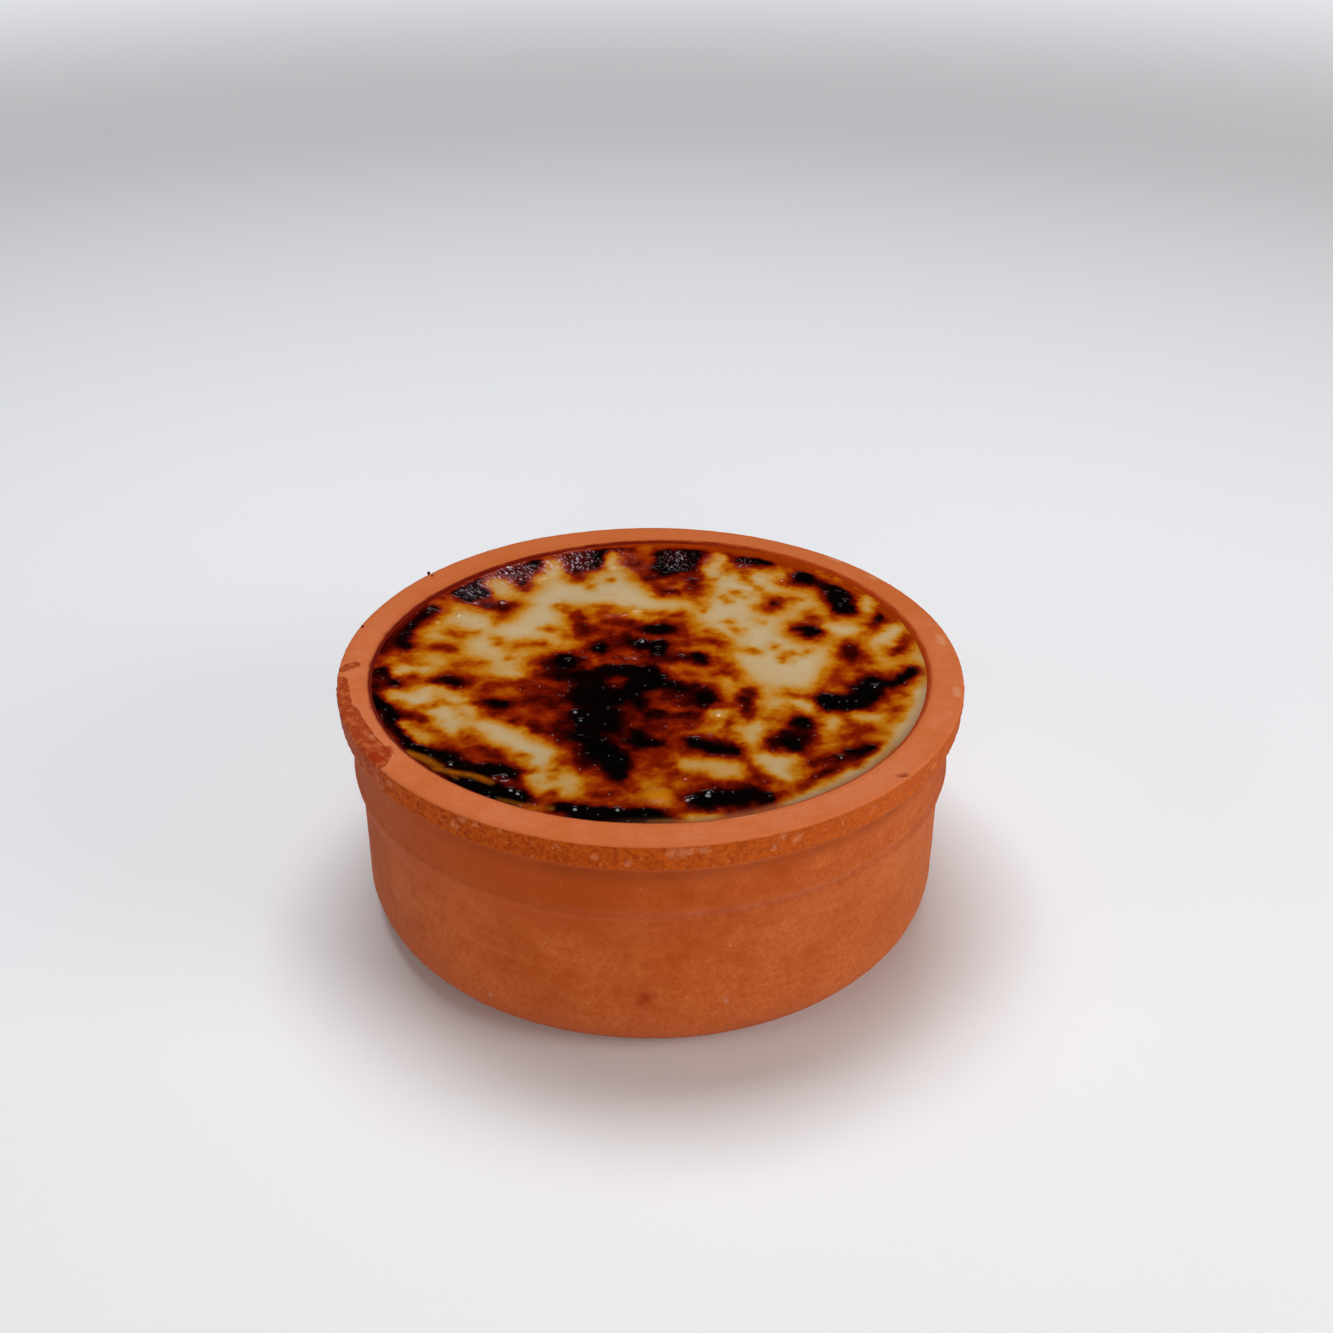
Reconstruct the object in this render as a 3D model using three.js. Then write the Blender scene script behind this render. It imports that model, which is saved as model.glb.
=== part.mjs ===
// Milk halva baked in its clay dish.
//
// A low round dish of unglazed clay: a flat-topped rim with a plain band round it, a slightly
// hollow neck under the band that ends in a raised ridge, an upright wall and a rounded foot.
// The halva is one solid that fills the dish almost to the rim, with a gently uneven baked skin.
// Millimetres, +Z up. The origin is the middle of the underside of the foot.

import * as THREE from 'three';

// The dish, outside
const rimRadius = 60;
const dishHeight = 49.5;
const bandHeight = 5.3;
const bandFootInset = 0.3;
const bandCornerRadius = 0.7;
const bandFootRounding = 0.5;
const neckTopRadius = 58.2;
const neckRadius = 57.4;
const neckHeight = 38;
const ridgeRadius = 57.9;
const ridgeHeight = 32.3;
const ridgeRounding = 1.2;
const ridgeProud = 0.3;
const wallTopRadius = 56.6;
const wallTopHeight = 27.3;
const wallFootRadius = 56.4;
const footCornerRadius = 8.5;

// The mouth, which is a little uneven as a hand-shaped one is, and the inside
const mouthRadius = 54.1;
const mouthLipWidth = 1.5;
const mouthLipDepth = 1.9;
const mouthDepth = 9;
const mouthSwells = [
  { lobes: 1, height: 0.34, angle: 0 },
  { lobes: 2, height: 0.65, angle: THREE.MathUtils.degToRad(36) },
  { lobes: 3, height: 0.36, angle: THREE.MathUtils.degToRad(-60) },
];
const innerWallRadius = 50.8;
const innerFloorRadius = 49.4;
const innerCornerRadius = 8;
const floorThickness = 6.5;

// The halva
const halvaLevel = dishHeight - 0.9;
const halvaGap = 0.3;
const halvaRings = 11;
const halvaWaves = [
  { length: 46, height: 0.16, angle: 0.4 },
  { length: 31, height: 0.12, angle: 1.9 },
  { length: 22, height: 0.1, angle: 2.7 },
];

const turnSteps = 96;
const cornerSteps = 4;
const footSteps = 7;

const up = new THREE.Vector2(0, 1);
const down = new THREE.Vector2(0, -1);
const out = new THREE.Vector2(1, 0);
const inward = new THREE.Vector2(-1, 0);

function at(radius, height) {
  return new THREE.Vector2(radius, height);
}

// A quarter of an ellipse about a centre, from its side towards start to its side towards end
function quarter(centre, start, end, width, height, steps) {
  const points = [];
  for (let step = 0; step <= steps; step += 1) {
    const turn = (Math.PI / 2) * (step / steps);
    const side = start.clone().multiplyScalar(Math.cos(turn)).addScaledVector(end, Math.sin(turn));
    points.push(at(centre.x + side.x * width, centre.y + side.y * height));
  }
  return points;
}

// How far the mouth stands outside a true circle, by angle about +Z
function mouthOffset(angle) {
  let offset = 0;
  for (const swell of mouthSwells) {
    offset += swell.height * Math.cos(swell.lobes * (angle - swell.angle));
  }
  return offset;
}

// Turns a profile about +Z, then moves what lies near the mouth with the mouth's unevenness
function turned(profile) {
  const geometry = new THREE.LatheGeometry(profile, turnSteps);
  geometry.rotateX(Math.PI / 2);
  const place = geometry.attributes.position;
  for (let index = 0; index < place.count; index += 1) {
    const x = place.getX(index);
    const y = place.getY(index);
    const height = place.getZ(index);
    const nearMouth = THREE.MathUtils.smoothstep(height, dishHeight - mouthDepth, dishHeight);
    const insideRim = 1 - THREE.MathUtils.smoothstep(Math.hypot(x, y), mouthRadius, rimRadius);
    const grow = 1 + (mouthOffset(Math.atan2(y, x)) * nearMouth * insideRim) / mouthRadius;
    place.setX(index, x * grow);
    place.setY(index, y * grow);
  }
  return geometry;
}

// The arc where the inner wall turns into the floor, for the dish or, a gap inside it, for the halva
function innerCorner(start, end, gap) {
  const centre = at(innerFloorRadius - innerCornerRadius, floorThickness + innerCornerRadius);
  return quarter(centre, start, end, innerCornerRadius - gap, innerCornerRadius - gap, cornerSteps);
}

function dishGeometry() {
  const bandFoot = dishHeight - bandHeight;
  const footCentre = at(wallFootRadius - footCornerRadius, footCornerRadius);
  const cornerCentre = at(rimRadius - bandCornerRadius, dishHeight - bandCornerRadius);
  const lipCentre = at(mouthRadius, dishHeight - mouthLipDepth);
  return turned([
    at(0, 0),
    ...quarter(footCentre, down, out, footCornerRadius, footCornerRadius, footSteps),
    at(wallTopRadius, wallTopHeight),
    at(ridgeRadius - ridgeProud, ridgeHeight - ridgeRounding),
    at(ridgeRadius, ridgeHeight),
    at(ridgeRadius - ridgeProud, ridgeHeight + ridgeRounding),
    at(neckRadius, neckHeight),
    at(neckTopRadius, bandFoot - 2 * bandFootRounding),
    at(rimRadius - bandFootInset - bandFootRounding, bandFoot - bandFootRounding / 2),
    at(rimRadius - bandFootInset, bandFoot + bandFootRounding),
    ...quarter(cornerCentre, out, up, bandCornerRadius, bandCornerRadius, cornerSteps),
    ...quarter(lipCentre, up, inward, mouthLipWidth, mouthLipDepth, cornerSteps),
    at(innerWallRadius, dishHeight - mouthDepth),
    ...innerCorner(out, down, 0),
    at(0, floorThickness),
  ]);
}

// How far from the axis the rounded lip of the mouth stands at a height
function lipRadius(height) {
  const rise = (height - dishHeight + mouthLipDepth) / mouthLipDepth;
  return mouthRadius - mouthLipWidth * Math.sqrt(1 - rise ** 2);
}

// Low waves in the baked skin, which fade out where it meets the dish
function skinRise(x, y, edgeRadius) {
  const inside = Math.max(1 - (Math.hypot(x, y) / edgeRadius) ** 4, 0);
  let rise = 0;
  for (const wave of halvaWaves) {
    const along = x * Math.cos(wave.angle) + y * Math.sin(wave.angle);
    rise += wave.height * Math.sin((2 * Math.PI * along) / wave.length + wave.angle);
  }
  return rise * inside;
}

function halvaGeometry() {
  const lipFoot = dishHeight - mouthLipDepth;
  const edgeRadius = lipRadius(halvaLevel) - halvaGap;
  const profile = [
    at(0, floorThickness + halvaGap),
    ...innerCorner(down, out, halvaGap),
    at(innerWallRadius - halvaGap, dishHeight - mouthDepth),
    at(lipRadius(lipFoot) - halvaGap, lipFoot),
  ];
  for (let ring = halvaRings; ring >= 0; ring -= 1) {
    profile.push(at((edgeRadius * ring) / halvaRings, halvaLevel));
  }
  const geometry = turned(profile);
  const place = geometry.attributes.position;
  for (let index = 0; index < place.count; index += 1) {
    const onSkin = place.getZ(index) > (lipFoot + halvaLevel) / 2;
    if (onSkin) {
      place.setZ(index, halvaLevel + skinRise(place.getX(index), place.getY(index), edgeRadius));
    }
  }
  return geometry;
}

const clay = new THREE.MeshStandardMaterial({ color: 0xb5643c, roughness: 0.85, metalness: 0 });
const bakedMilk = new THREE.MeshStandardMaterial({ color: 0x9a6a35, roughness: 0.3, metalness: 0 });

const dish = new THREE.Mesh(dishGeometry(), clay);
dish.name = 'clay_dish';

const halva = new THREE.Mesh(halvaGeometry(), bakedMilk);
halva.name = 'milk_halva';

const part = new THREE.Group();
part.add(dish, halva);

export default part;
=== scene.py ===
import math
import bmesh
import bpy
import numpy as np
from mathutils import Matrix, Vector, noise


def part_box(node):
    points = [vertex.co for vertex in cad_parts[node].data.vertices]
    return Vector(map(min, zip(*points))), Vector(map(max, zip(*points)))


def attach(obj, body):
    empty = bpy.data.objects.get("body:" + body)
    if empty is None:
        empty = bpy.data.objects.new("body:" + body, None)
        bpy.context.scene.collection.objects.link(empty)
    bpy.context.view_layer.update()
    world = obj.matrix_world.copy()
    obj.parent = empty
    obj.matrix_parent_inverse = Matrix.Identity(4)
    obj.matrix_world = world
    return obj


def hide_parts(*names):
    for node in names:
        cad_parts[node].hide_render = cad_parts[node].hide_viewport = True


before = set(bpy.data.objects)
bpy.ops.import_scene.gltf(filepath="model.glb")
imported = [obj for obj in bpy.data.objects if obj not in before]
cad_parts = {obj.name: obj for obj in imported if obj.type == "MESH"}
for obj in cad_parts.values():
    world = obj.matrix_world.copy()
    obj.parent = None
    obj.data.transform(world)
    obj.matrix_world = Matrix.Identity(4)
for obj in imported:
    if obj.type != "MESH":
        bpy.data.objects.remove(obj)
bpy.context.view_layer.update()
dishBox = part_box("clay_dish")
mm = 0.001


# Small helpers for sizes in mm, soft steps and random unevenness

def smooth(low, high, value):
    share = np.clip((value - low) / (high - low), 0, 1)
    return share * share * (3 - 2 * share)


def cloud(points, size, octaves=3, seed=0.0):
    # soft random unevenness with lumps of about this size in mm, roughly from -1 to 1
    shift = Vector((seed, 7.3 * seed, 3.1 * seed))
    return np.array([noise.fractal(Vector(point) / size + shift, 1.0, 2.0, octaves) for point in points])


def distanceTo(line, x, y):
    # how far each place lies from a line through a few points, or from a single point
    nearest = np.full(x.shape, 1e9)
    ends = line if len(line) > 1 else line * 2
    for (startX, startY), (endX, endY) in zip(ends, ends[1:]):
        runX, runY = endX - startX, endY - startY
        length = max(runX ** 2 + runY ** 2, 1e-9)
        share = np.clip(((x - startX) * runX + (y - startY) * runY) / length, 0, 1)
        nearest = np.minimum(nearest, np.hypot(x - startX - share * runX, y - startY - share * runY))
    return nearest


def quarter(centre, start, end, width, height, steps):
    # a quarter of an ellipse, from its side towards start to its side towards end
    turns = [math.pi / 2 * step / steps for step in range(steps + 1)]
    return [
        (
            centre[0] + width * (math.cos(turn) * start[0] + math.sin(turn) * end[0]),
            centre[1] + height * (math.cos(turn) * start[1] + math.sin(turn) * end[1]),
        )
        for turn in turns
    ]


def spread(outline, spacing):
    # the same outline with evenly spaced points, first and last kept
    points = np.array(outline, float)
    runs = np.append(0, np.cumsum(np.hypot(*np.diff(points, axis=0).T)))
    count = max(1, round(runs[-1] / spacing))
    places = np.linspace(0, runs[-1], count + 1)
    return list(zip(np.interp(places, runs, points[:, 0]), np.interp(places, runs, points[:, 1])))


def meshPlaces(mesh):
    places = np.empty(len(mesh.vertices) * 3)
    mesh.vertices.foreach_get("co", places)
    return places.reshape(-1, 3) / mm


def setMeshPlaces(mesh, places):
    mesh.vertices.foreach_set("co", (places * mm).ravel())
    mesh.update()


def setMask(mesh, name, values):
    mask = mesh.attributes.new(name, "FLOAT", "POINT")
    mask.data.foreach_set("value", np.asarray(values, np.float32))


def newPiece(name, shape, finish):
    # the shape's places are in mm, and the piece's in metres, with its origin at the dish's own
    bmesh.ops.scale(shape, vec=(mm, mm, mm), verts=shape.verts)
    mesh = bpy.data.meshes.new(name)
    shape.to_mesh(mesh)
    shape.free()
    mesh.materials.append(finish)
    mesh.polygons.foreach_set("use_smooth", [True] * len(mesh.polygons))
    piece = bpy.data.objects.new(name, mesh)
    bpy.context.scene.collection.objects.link(piece)
    return piece


# Materials are written as sums: a Link is one socket, and + - * / on it add Math nodes

class Link:
    def __init__(self, finish, socket):
        self.finish = finish
        self.socket = socket

    def maths(self, operation, first, second):
        return self.finish.add("ShaderNodeMath", {"operation": operation}, {0: first, 1: second})

    def __add__(self, other):
        return self.maths("ADD", self, other)

    def __sub__(self, other):
        return self.maths("SUBTRACT", self, other)

    def __rsub__(self, other):
        return self.maths("SUBTRACT", other, self)

    def __mul__(self, other):
        return self.maths("MULTIPLY", self, other)

    __radd__ = __add__
    __rmul__ = __mul__


class Finish:
    def __init__(self, owner, coordinates="Object", scale=1 / mm):
        self.owner = owner
        owner.use_nodes = True
        self.tree = owner.node_tree
        self.tree.nodes.clear()
        place = self.add("ShaderNodeTexCoord", output=coordinates)
        self.place = self.add("ShaderNodeVectorMath", {"operation": "SCALE"}, {0: place, "Scale": scale})

    def add(self, kind, settings=None, sockets=None, output=0):
        node = self.tree.nodes.new(kind)
        for name, value in (settings or {}).items():
            if name == "stops":
                while len(node.color_ramp.elements) < len(value):
                    node.color_ramp.elements.new(1)
                for element, (position, colour) in zip(node.color_ramp.elements, value):
                    element.position = position
                    element.color = colour
            else:
                setattr(node, name, value)
        for name, value in (sockets or {}).items():
            if isinstance(value, Link):
                self.tree.links.new(value.socket, node.inputs[name])
            else:
                node.inputs[name].default_value = value
        return Link(self, node.outputs[output]) if node.outputs else None

    def mask(self, name):
        return self.add("ShaderNodeAttribute", {"attribute_name": name}, output="Fac")

    def grain(self, size, detail=3.0, roughness=0.5, place=None):
        # noise with lumps of this size in mm, from 0 to 1 about 0.5
        sockets = {"Vector": place or self.place, "Scale": 1 / size, "Detail": detail, "Roughness": roughness}
        return self.add("ShaderNodeTexNoise", sockets=sockets)

    def step(self, low, high, value, start=0.0, end=1.0):
        sockets = {"Value": value, "From Min": low, "From Max": high, "To Min": start, "To Max": end}
        return self.add("ShaderNodeMapRange", {"interpolation_type": "SMOOTHSTEP"}, sockets)

    def blend(self, share, first, second):
        return self.add("ShaderNodeMix", {"data_type": "RGBA"}, {0: share, 6: first, 7: second}, output=2)

    def ramp(self, value, stops):
        return self.add("ShaderNodeValToRGB", {"stops": stops}, {0: value})

    def finishWith(self, sockets):
        shader = self.add("ShaderNodeBsdfPrincipled", sockets=sockets)
        self.add("ShaderNodeOutputMaterial", sockets={"Surface": shader})
        return self.owner


def colour(red, green, blue, light=1.0):
    # a screen colour as the linear one that a shader takes, for a surface that gets this much light
    parts = [part / 255 for part in (red, green, blue)]
    linear = [part / 12.92 if part < 0.04045 else ((part + 0.055) / 1.055) ** 2.4 for part in parts]
    return tuple(min(part / light, 0.97) for part in linear) + (1.0,)


# The clay dish: the same section as the fixed frame's, turned finely, then made a little uneven

clayDish = {
    "rimRadius": 60,
    "height": 49.5,
    "bandHeight": 5.3,
    "bandFootInset": 0.3,
    "bandCornerRadius": 0.7,
    "bandFootRounding": 0.5,
    "neckTopRadius": 58.2,
    "neckRadius": 57.4,
    "neckHeight": 38,
    "ridgeRadius": 57.9,
    "ridgeHeight": 32.3,
    "ridgeRounding": 1.2,
    "ridgeProud": 0.3,
    "wallTopRadius": 56.6,
    "wallTopHeight": 27.3,
    "wallFootRadius": 56.4,
    "footCornerRadius": 8.5,
    "mouthRadius": 54.1,
    "mouthLipWidth": 1.5,
    "mouthLipDepth": 1.9,
    "mouthDepth": 9,
    "mouthSwells": [(1, 0.34, 0), (2, 0.65, 36), (3, 0.36, -60)],  # lobes, height in mm, angle in degrees
    "innerWallRadius": 50.8,
    "innerFloorRadius": 49.4,
    "innerCornerRadius": 8,
    "floorThickness": 6.5,
    "turnSteps": 720,
    "rimSpacing": 0.42,
    "wallSpacing": 0.8,
    "ridgeSpacing": 0.3,
    "hiddenSpacing": 5,
    "throwingRings": 0.05,  # height of the marks left by the potter's fingers
    "wallUnevenness": 0.12,
    "wallGrain": 0.03,
    "dabHeight": 0.05,
    "creaseTowards": -10,  # the middle of the crease over the ridge, in degrees
    "creaseDepth": 0.16,
    "ridgeEdge": 0.06,
    "recessDepth": 0.2,  # of the hollow right under the band
    "bandGrain": 0.16,
    "bandPits": 0.35,
    # half width, then a line of places round the top face, in mm, where oil has soaked in
    "oilStains": [
        (1.1, (-59, -2.2), (-57.9, -1.3), (-56.8, -0.4)),
        (
            1.5, (-58.9, -6.4), (-57.7, -11.5), (-56.2, -17), (-54.4, -22.4),
            (-52, -28), (-49.8, -32), (-48.2, -35.4),
        ),
        (1.2, (-55.4, -16.4), (-53.2, -21.4), (-50.6, -26.4), (-48, -30.6)),
        (1.4, (-49.4, -29.4), (-47.2, -32.6), (-47.6, -35)),
    ],
    "redStains": [
        (0.9, (-49.2, -32.2), (-48, -33.6)), (0.35, (-52.9, -24.4), (-52.7, -25)),
        (0.4, (-46.8, -29.8), (-46.4, -31.2)), (0.25, (43.5, -38.9), (43.3, -39)),
    ],
    "paleDabs": [
        (0.5, (57.6, -9.6), (57.7, -11.8)), (0.5, (57.2, 8), (57.1, 10.6)), (0.35, (49.6, 5.6), (49.7, 4)),
        (0.3, (-50.3, -26.1)), (0.4, (14.2, -51.8), (17.4, -50.6)), (0.3, (38, 45), (40.4, 43)),
        (0.3, (46, 36.4), (47, 35)),
    ],
    # angle in degrees, height and radius in mm of pale salty patches on the band
    "blooms": [
        (-84.6, 48.4, 1.5), (-86.6, 48.2, 1.2), (-81.4, 48.2, 1.0), (-93.6, 45.9, 0.5), (-68, 48.4, 0.7),
        (-65.7, 46.9, 0.8), (-70, 46.4, 0.5), (-115, 48.7, 0.5), (-123.9, 46.4, 0.8), (-122.1, 48.7, 0.9),
        (-119.6, 48.5, 0.6), (-105, 47.9, 0.4), (-99, 46.6, 0.4), (-50, 47.2, 0.6), (-140, 47.4, 0.7),
        (-32, 46.6, 0.6), (20, 47.2, 0.9), (58, 46.2, 0.7), (102, 47.6, 1.1), (131, 46.6, 0.6),
        (163, 47.9, 0.8), (84, 45.4, 0.5),
    ],
    # angle, height, radius and strength of darker dabs on the wall
    "wallDabs": [
        (-90.9, 14.1, 1.1, 1), (-91.9, 13.1, 0.6, 0.8), (-89.6, 14.6, 0.5, 0.6), (-96.5, 15.6, 0.9, 0.25),
        (-99.5, 15.2, 0.7, 0.2), (-75.1, 13.7, 0.4, 0.3), (-69, 16.6, 0.9, 0.15), (-84, 17, 0.5, 0.2),
        (-118, 17.6, 0.8, 0.15), (-108, 20, 0.9, 0.15), (35, 18, 1.1, 0.3), (98, 12, 0.9, 0.4),
        (160, 21, 1.0, 0.3), (222, 15, 0.8, 0.3),
    ],
    # angle, height, radius and paleness of pale specks on the wall
    "specks": [
        (-148.3, 33.2, 0.4, 0.6), (-121.1, 7.6, 0.35, 0.4), (-76, 12.2, 0.25, 0.2), (-57, 40.6, 0.3, 0.4),
    ],
    "chip": (44.3, -38.6, 1.15, 0.75),  # x, y, radius, depth
    "light": 0.92,  # how bright a white surface is where the dish's top face lies
    # screen colours of the clay's parts and stains, and of the light, shade and sheen painted on it
    "colours": {
        "wall": (190, 98, 48), "wallDark": (157, 63, 16), "wallPaintedReflection": (150, 96, 78),
        "bandPaintedLight": (206, 106, 46), "wallPaintedLight": (192, 108, 60), "pinkPaintedLight": (186, 98, 60),
        "wallWarm": (172, 66, 10), "crease": (168, 92, 66), "recess": (96, 38, 16), "dab": (134, 42, 12),
        "face": (201, 112, 70), "faceWarm": (194, 100, 50), "faceEdge": (190, 96, 48),
        "faceBack": (182, 92, 38), "band": (176, 74, 8), "bandDark": (140, 50, 4), "salt": (214, 160, 120),
        "oil": (146, 50, 12), "oilPale": (176, 84, 38), "chip": (104, 26, 4), "red": (146, 32, 0),
        "innerLight": (158, 50, 2), "innerDark": (98, 14, 0), "speck": (190, 170, 150),
    },
}


def dishSection(dish):
    # the dish from its axis underneath, out and up its wall, over the rim and down inside to its axis again
    up, down, out, inward = (0, 1), (0, -1), (1, 0), (-1, 0)
    top = dish["height"]
    bandFoot = top - dish["bandHeight"]
    rounding = dish["bandFootRounding"]
    lip = top - dish["mouthLipDepth"]
    footCorner, bandCorner, bend = dish["footCornerRadius"], dish["bandCornerRadius"], dish["innerCornerRadius"]
    foot = quarter((dish["wallFootRadius"] - footCorner, footCorner), down, out, footCorner, footCorner, 24)
    proud = dish["ridgeRadius"] - dish["ridgeProud"]
    crown, sink = 0.4, 0.05  # how far the ridge's rounded top reaches up and down, and falls back there
    ridge = [
        (proud, dish["ridgeHeight"] - dish["ridgeRounding"]),
        (dish["ridgeRadius"] - sink, dish["ridgeHeight"] - crown),
        (dish["ridgeRadius"], dish["ridgeHeight"]),
        (dish["ridgeRadius"] - sink, dish["ridgeHeight"] + crown),
        (proud, dish["ridgeHeight"] + dish["ridgeRounding"]),
    ]
    neck = [
        ((proud + dish["neckRadius"]) / 2 - 0.05, (ridge[-1][1] + dish["neckHeight"]) / 2),
        (dish["neckRadius"], dish["neckHeight"]),
        ((dish["neckRadius"] + dish["neckTopRadius"]) / 2 - 0.1, (dish["neckHeight"] + bandFoot - 1) / 2),
        (dish["neckTopRadius"], bandFoot - 2 * rounding),
    ]
    bandSide = dish["rimRadius"] - dish["bandFootInset"]
    bandUnder = [
        (bandSide - rounding, bandFoot - rounding / 2),
        (bandSide - 0.1, bandFoot),
        (bandSide, bandFoot + rounding),
    ]
    corner = quarter((dish["rimRadius"] - bandCorner, top - bandCorner), out, up, bandCorner, bandCorner, 6)
    mouth = quarter((dish["mouthRadius"], lip), up, inward, dish["mouthLipWidth"], dish["mouthLipDepth"], 10)
    inside = [
        (dish["innerWallRadius"], top - dish["mouthDepth"]),
        *quarter(
            (dish["innerFloorRadius"] - bend, dish["floorThickness"] + bend),
            out, down, bend, bend, 4,
        ),
        (0, dish["floorThickness"]),
    ]
    wall = foot + [(dish["wallTopRadius"], dish["wallTopHeight"])] + ridge[:1]
    crest = ridge + [((proud + neck[0][0]) / 2, (ridge[-1][1] + neck[0][1]) / 2)]
    return (
        spread([(0, 0), foot[0]], 3 * dish["hiddenSpacing"])[:-1]
        + spread(wall, dish["wallSpacing"])
        + spread(crest, dish["ridgeSpacing"])[1:]
        + spread([crest[-1], *neck], dish["wallSpacing"])[1:]
        + spread([neck[-1], *bandUnder, *corner, *mouth], dish["rimSpacing"])[1:]
        + spread([mouth[-1], *inside[:-1]], dish["hiddenSpacing"])[1:]
        + spread(inside[-2:], 3 * dish["hiddenSpacing"])[1:]
    )


def mouthGrowth(dish, x, y, z):
    # how much wider than round the mouth is, which fades out towards the rim and down the wall
    angle = np.arctan2(y, x)
    swells = dish["mouthSwells"]
    offset = sum(height * np.cos(lobes * (angle - math.radians(turn))) for lobes, height, turn in swells)
    nearMouth = smooth(dish["height"] - dish["mouthDepth"], dish["height"], z)
    insideRim = 1 - smooth(dish["mouthRadius"], dish["rimRadius"], np.hypot(x, y))
    return 1 + offset * nearMouth * insideRim / dish["mouthRadius"]


def onWall(places, angle, height, radius):
    # a soft round patch on the outside of the dish
    around = math.radians(angle)
    onBand = height > clayDish["height"] - clayDish["bandHeight"]
    reach = clayDish["rimRadius"] if onBand else clayDish["wallTopRadius"]
    away = places - np.array([reach * math.cos(around), reach * math.sin(around), height])
    return 1 - smooth(0.4 * radius, 1.5 * radius, np.linalg.norm(away, axis=1) - 0.3)


def buildDish(dish):
    # the section is spun through a quarter turn and mirrored twice
    shape = bmesh.new()
    points = [shape.verts.new((radius, 0, height)) for radius, height in dishSection(dish)]
    chain = [shape.edges.new(pair) for pair in zip(points, points[1:])]
    steps = dish["turnSteps"] // 4
    bmesh.ops.spin(shape, geom=points + chain, cent=(0, 0, 0), axis=(0, 0, 1), angle=math.pi / 2, steps=steps)
    for axis in "XY":
        whole = shape.verts[:] + shape.edges[:] + shape.faces[:]
        bmesh.ops.mirror(shape, geom=whole, axis=axis, merge_dist=0.001)
    bmesh.ops.remove_doubles(shape, verts=shape.verts, dist=0.001)
    bmesh.ops.recalc_face_normals(shape, faces=shape.faces)
    piece = newPiece("terracotta_dish", shape, clayFinish(dish))
    wearDish(dish, piece.data)
    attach(piece, "root")
    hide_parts("clay_dish")
    print("dish turned:", len(piece.data.polygons), "faces")


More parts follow.
